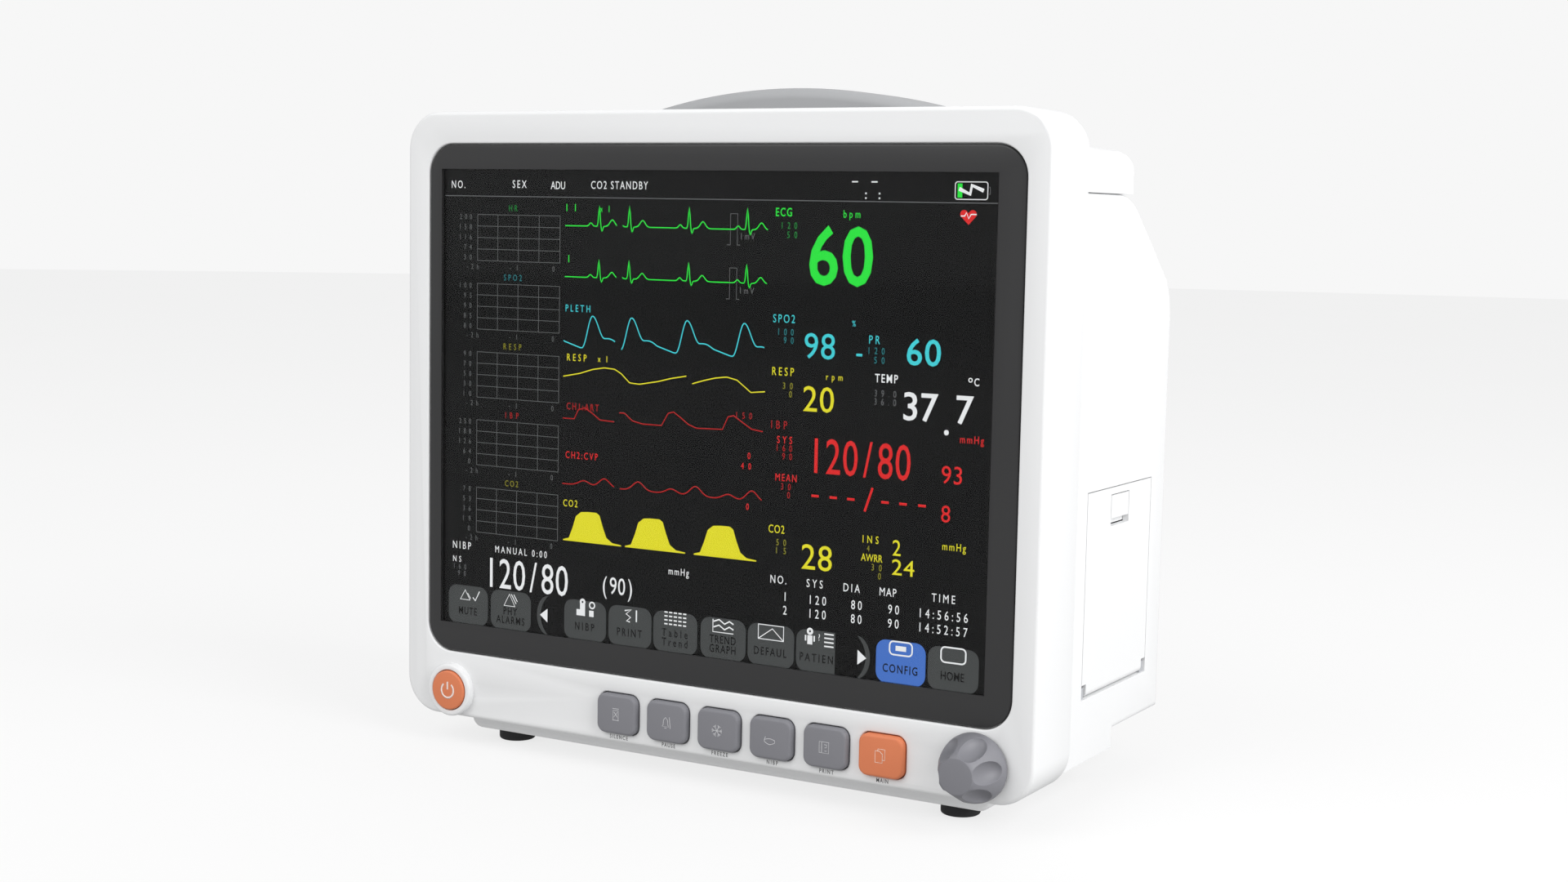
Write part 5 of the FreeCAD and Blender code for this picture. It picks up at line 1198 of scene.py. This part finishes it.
def makeHousing():
    low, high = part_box("rear_housing")
    wall, rear, front = shell["wall"], high[1], shell["bezelBack"]
    tail, tailLow, slope = shell["tailY"], shell["tailLow"], shell["slopeY"]
    slopeZ, top = shell["slopeZ"], shell["top"]
    body = outlineBlock("rearHousing", 0, [
        (front, low[2]), (tail, low[2]), (tail, tailLow), (rear, tailLow), (rear, slopeZ), (slope, top),
        (front, top)], low[0], high[0])
    bevelEdges(body, lambda a, b: runsAlong(0)(a, b) and a.y > slope - over and a.z > slopeZ - over,
               shell["bendRound"], 8)

    def sideEdge(a, b):
        # round each side wall, but not where it meets the bezel or the base
        sameSide = abs(a.x - b.x) < 1e-6
        behind = min(a.y, b.y) > front - 1e-6 and max(a.y, b.y) > front + 1e-4
        under = abs(a.z - low[2]) < 1e-6 and abs(b.z - low[2]) < 1e-6
        return sameSide and behind and not under
    bevelEdges(body, sideEdge, shell["edgeRound"], 4)

    # the inner slope keeps the wall's thickness, measured square to the slope
    run, rise = rear - slope, top - slopeZ
    length = math.hypot(run, rise)
    footZ = slopeZ - wall * run / length + wall * (1 - rise / length) * rise / run
    headY = slope - wall * rise / length + wall * (1 - run / length) * run / rise
    mouth = front - past
    tools = [outlineBlock("hollow", 0, [
        (mouth, low[2] + wall), (tail - wall, low[2] + wall), (tail - wall, tailLow + wall),
        (rear - wall, tailLow + wall), (rear - wall, footZ), (headY, top - wall), (mouth, top - wall)],
        low[0] + wall, high[0] - wall)]
    inside, outside = rear - wall - over, rear + past

    frameLow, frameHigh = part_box("recorder_frame")
    trayLow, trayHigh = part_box("battery_tray")
    lip = shell["openingLip"]
    tools.append(addBlock("bay", (high[0] - wall - over, frameLow[1] + lip, frameLow[2] + lip),
                          (high[0] + past, frameHigh[1] - lip, frameHigh[2] - lip)))
    tools.append(addBlock("tray", (trayLow[0] + lip, inside, trayLow[2] + lip),
                          (trayHigh[0] - lip, outside, trayHigh[2] - lip)))
    panelLow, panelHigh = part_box("socket_panel")
    rim = shell["panelRim"]
    tools.append(roundedBlock("sockets", (low[0] - past, panelLow[1] + rim, panelLow[2] + rim),
                              (low[0] + wall + over, panelHigh[1] - rim, panelHigh[2] - rim), 0, rim, 4))
    for name in ("ac_inlet", "lan_port"):
        partLow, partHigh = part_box(name)
        tools.append(addBlock(name, (partLow[0], inside, partLow[2]), (partHigh[0], outside, partHigh[2])))
    tools.append(addRod("stud", middleXZ("ground_stud"), shell["studHole"], 1, inside, outside))
    for side in (-1, 1):
        for x, z in shell["posts"]:
            centre = (side * x, z)
            tools.append(addRod("screw", centre, shell["screwHole"], 1, inside, outside, 24))
            tools.append(addRod("recess", centre, shell["screwRecess"], 1, rear - shell["recessDepth"],
                                outside + over, 32))
        for up in (-1, 1):
            centre = (side * shell["insertAway"], shell["insertZ"] + up * shell["insertAway"])
            tools.append(addRod("insert", centre, shell["insertHole"], 1, inside, outside, 32))
    wide, tall = shell["ventSize"]
    for index in range(shell["vents"]):
        x, z = shell["ventX"], shell["ventLow"] + index * shell["ventPitch"]
        tools.append(roundedBlock("vent", (x - wide / 2, inside, z - tall / 2),
                                  (x + wide / 2, outside, z + tall / 2), 1, shell["ventRound"], 4))
    cutAway(body, *tools)
    finish(body, "housingWhite", "housing", ["rear_housing"], 32)
    print("housing made")


cover = {"web": 0.002, "inner": 0.080, "outerRound": 0.008, "outerSide": 0.1, "wall": 0.0025,
         "width": 0.0545, "screwX": 0.094, "screwRadius": 0.00205}


def makeCover():
    low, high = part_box("top_cover")
    inner, web = cover["inner"], low[2] + cover["web"]
    top = outlineBlock("topCover", 1, [
        (low[0], low[2]), (high[0], low[2]), (high[0], high[2]), (inner, high[2]), (inner, web),
        (-inner, web), (-inner, high[2]), (low[0], high[2])], low[1], high[1])

    def outerEdge(a, b):
        # the upper edges along the two sides and along the rear
        side = runsAlong(1)(a, b) and abs(a.x) > cover["outerSide"]
        return liesAt(2, high[2])(a, b) and (side or liesAt(1, high[1])(a, b))
    bevelEdges(top, outerEdge, cover["outerRound"], 8)
    tools = []
    floor = high[2] - cover["outerRound"]
    handleLow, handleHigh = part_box("carry_handle")
    for side in (-1, 1):
        middle = side * (high[0] - cover["width"] / 2)
        half = cover["width"] / 2 - cover["wall"]
        tools.append(addBlock("hollow", (middle - half, low[1] + cover["wall"], low[2] - past),
                              (middle + half, high[1] - cover["wall"], floor)))
        for row in (-1, 1):
            y = (handleLow[1] + handleHigh[1]) / 2 + row * (handleHigh[1] - handleLow[1]) / 4
            tools.append(addRod("hole", (side * cover["screwX"], y), cover["screwRadius"], 2,
                                floor - over, high[2] + past, 24))
    cutAway(top, *tools)
    finish(top, "housingWhite", "housing", ["top_cover"], 32)
    print("cover made")


handle = {"half": 0.107, "inner": 0.080, "thick": 0.013, "steps": 40, "round": 0.0045, "extra": 0.006}


def bowPoints(half, foot, rise, extra, steps):
    # an arc that crosses the level of its foot at +half and -half, and runs on below it by extra
    radius = (half ** 2 + rise ** 2) / (2 * rise)
    limit = math.acos((radius - rise - extra) / radius)
    turns = [limit - 2 * limit * step / steps for step in range(steps + 1)]
    return [(radius * math.sin(turn), foot + rise - radius + radius * math.cos(turn)) for turn in turns]


def makeHandle():
    low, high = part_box("carry_handle")
    rise, extra = high[2] - low[2], handle["extra"]
    outer = bowPoints(handle["half"], low[2], rise, extra, handle["steps"])
    inner = bowPoints(handle["inner"], low[2], rise - handle["thick"], extra, handle["steps"])
    bow = outlineBlock("carryHandle", 1, outer + inner[::-1], low[1], high[1])

    def longEdge(a, b):
        sameSide = abs(a.y - b.y) < 1e-6
        foot = low[2] - extra + near
        return sameSide and not (a.z < foot and b.z < foot)
    bevelEdges(bow, longEdge, handle["round"], 6)
    only(bow)
    bpy.ops.object.mode_set(mode="EDIT")
    bpy.ops.mesh.select_all(action="SELECT")
    bpy.ops.mesh.bisect(plane_co=(0, 0, low[2]), plane_no=(0, 0, 1), use_fill=True, clear_inner=True)
    bpy.ops.object.mode_set(mode="OBJECT")
    finish(bow, "handleGrey", "housing", ["carry_handle"], 32)
    print("handle made")


base = {"corner": 0.005, "edge": 0.0012, "footEdge": 0.001, "footX": 0.103, "footY": (24.0, 84.0),
        "seat": 0.0015, "footRadius": 0.0075, "seatGap": 0.0001, "step": 0.012, "tread": 0.62,
        "treadDeep": 0.0005}


def makeBase():
    low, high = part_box("base_rail")
    back, step = shell["bezelBack"], base["step"]
    rail = outlineBlock("baseRail", 0, [
        (low[1], low[2]), (high[1], low[2]), (high[1], high[2]), (back, high[2]), (back, step),
        (low[1], step)], low[0], high[0])
    bevelEdges(rail, lambda a, b: runsAlong(1)(a, b) and a.z < low[2] + near, base["corner"], 6)
    bevelEdges(rail, lambda a, b: liesAt(1, low[1])(a, b) and min(a.z, b.z) < step - near, base["edge"], 3)
    places = [(side * base["footX"], faceY + y * mm) for side in (-1, 1) for y in base["footY"]]
    cutAway(rail, *[addRod("seat", place, base["footRadius"] + base["seatGap"], 2, low[2] - past,
                           low[2] + base["seat"]) for place in places])
    # the rail's paint is lighter than the housing white: painted light that lifts the shade under the bezel
    finish(rail, "railWhiteWithPaintedLight", "housing", ["base_rail"], 32)
    feet = []
    for place in places:
        foot = addRod("foot", place, base["footRadius"], 2, 0, low[2] + base["seat"], 48)
        bevelEdges(foot, liesAt(2, 0), base["footEdge"], 4)
        cutAway(foot, addRod("tread", place, base["footRadius"] * base["tread"], 2, -over,
                             base["treadDeep"], 32))
        feet.append(foot)
    finish(join("rubberFeet", feet), "footRubber", "housing", ["rubber_feet"], 32)
    print("base made")


makeCamera()
makeStudio()
paintNodes()
makeBezel()
makeGlass()
makeDisplay()
makeKeys()
makePower()
makeKnob()
makeHousing()
makeCover()
makeHandle()
makeBase()
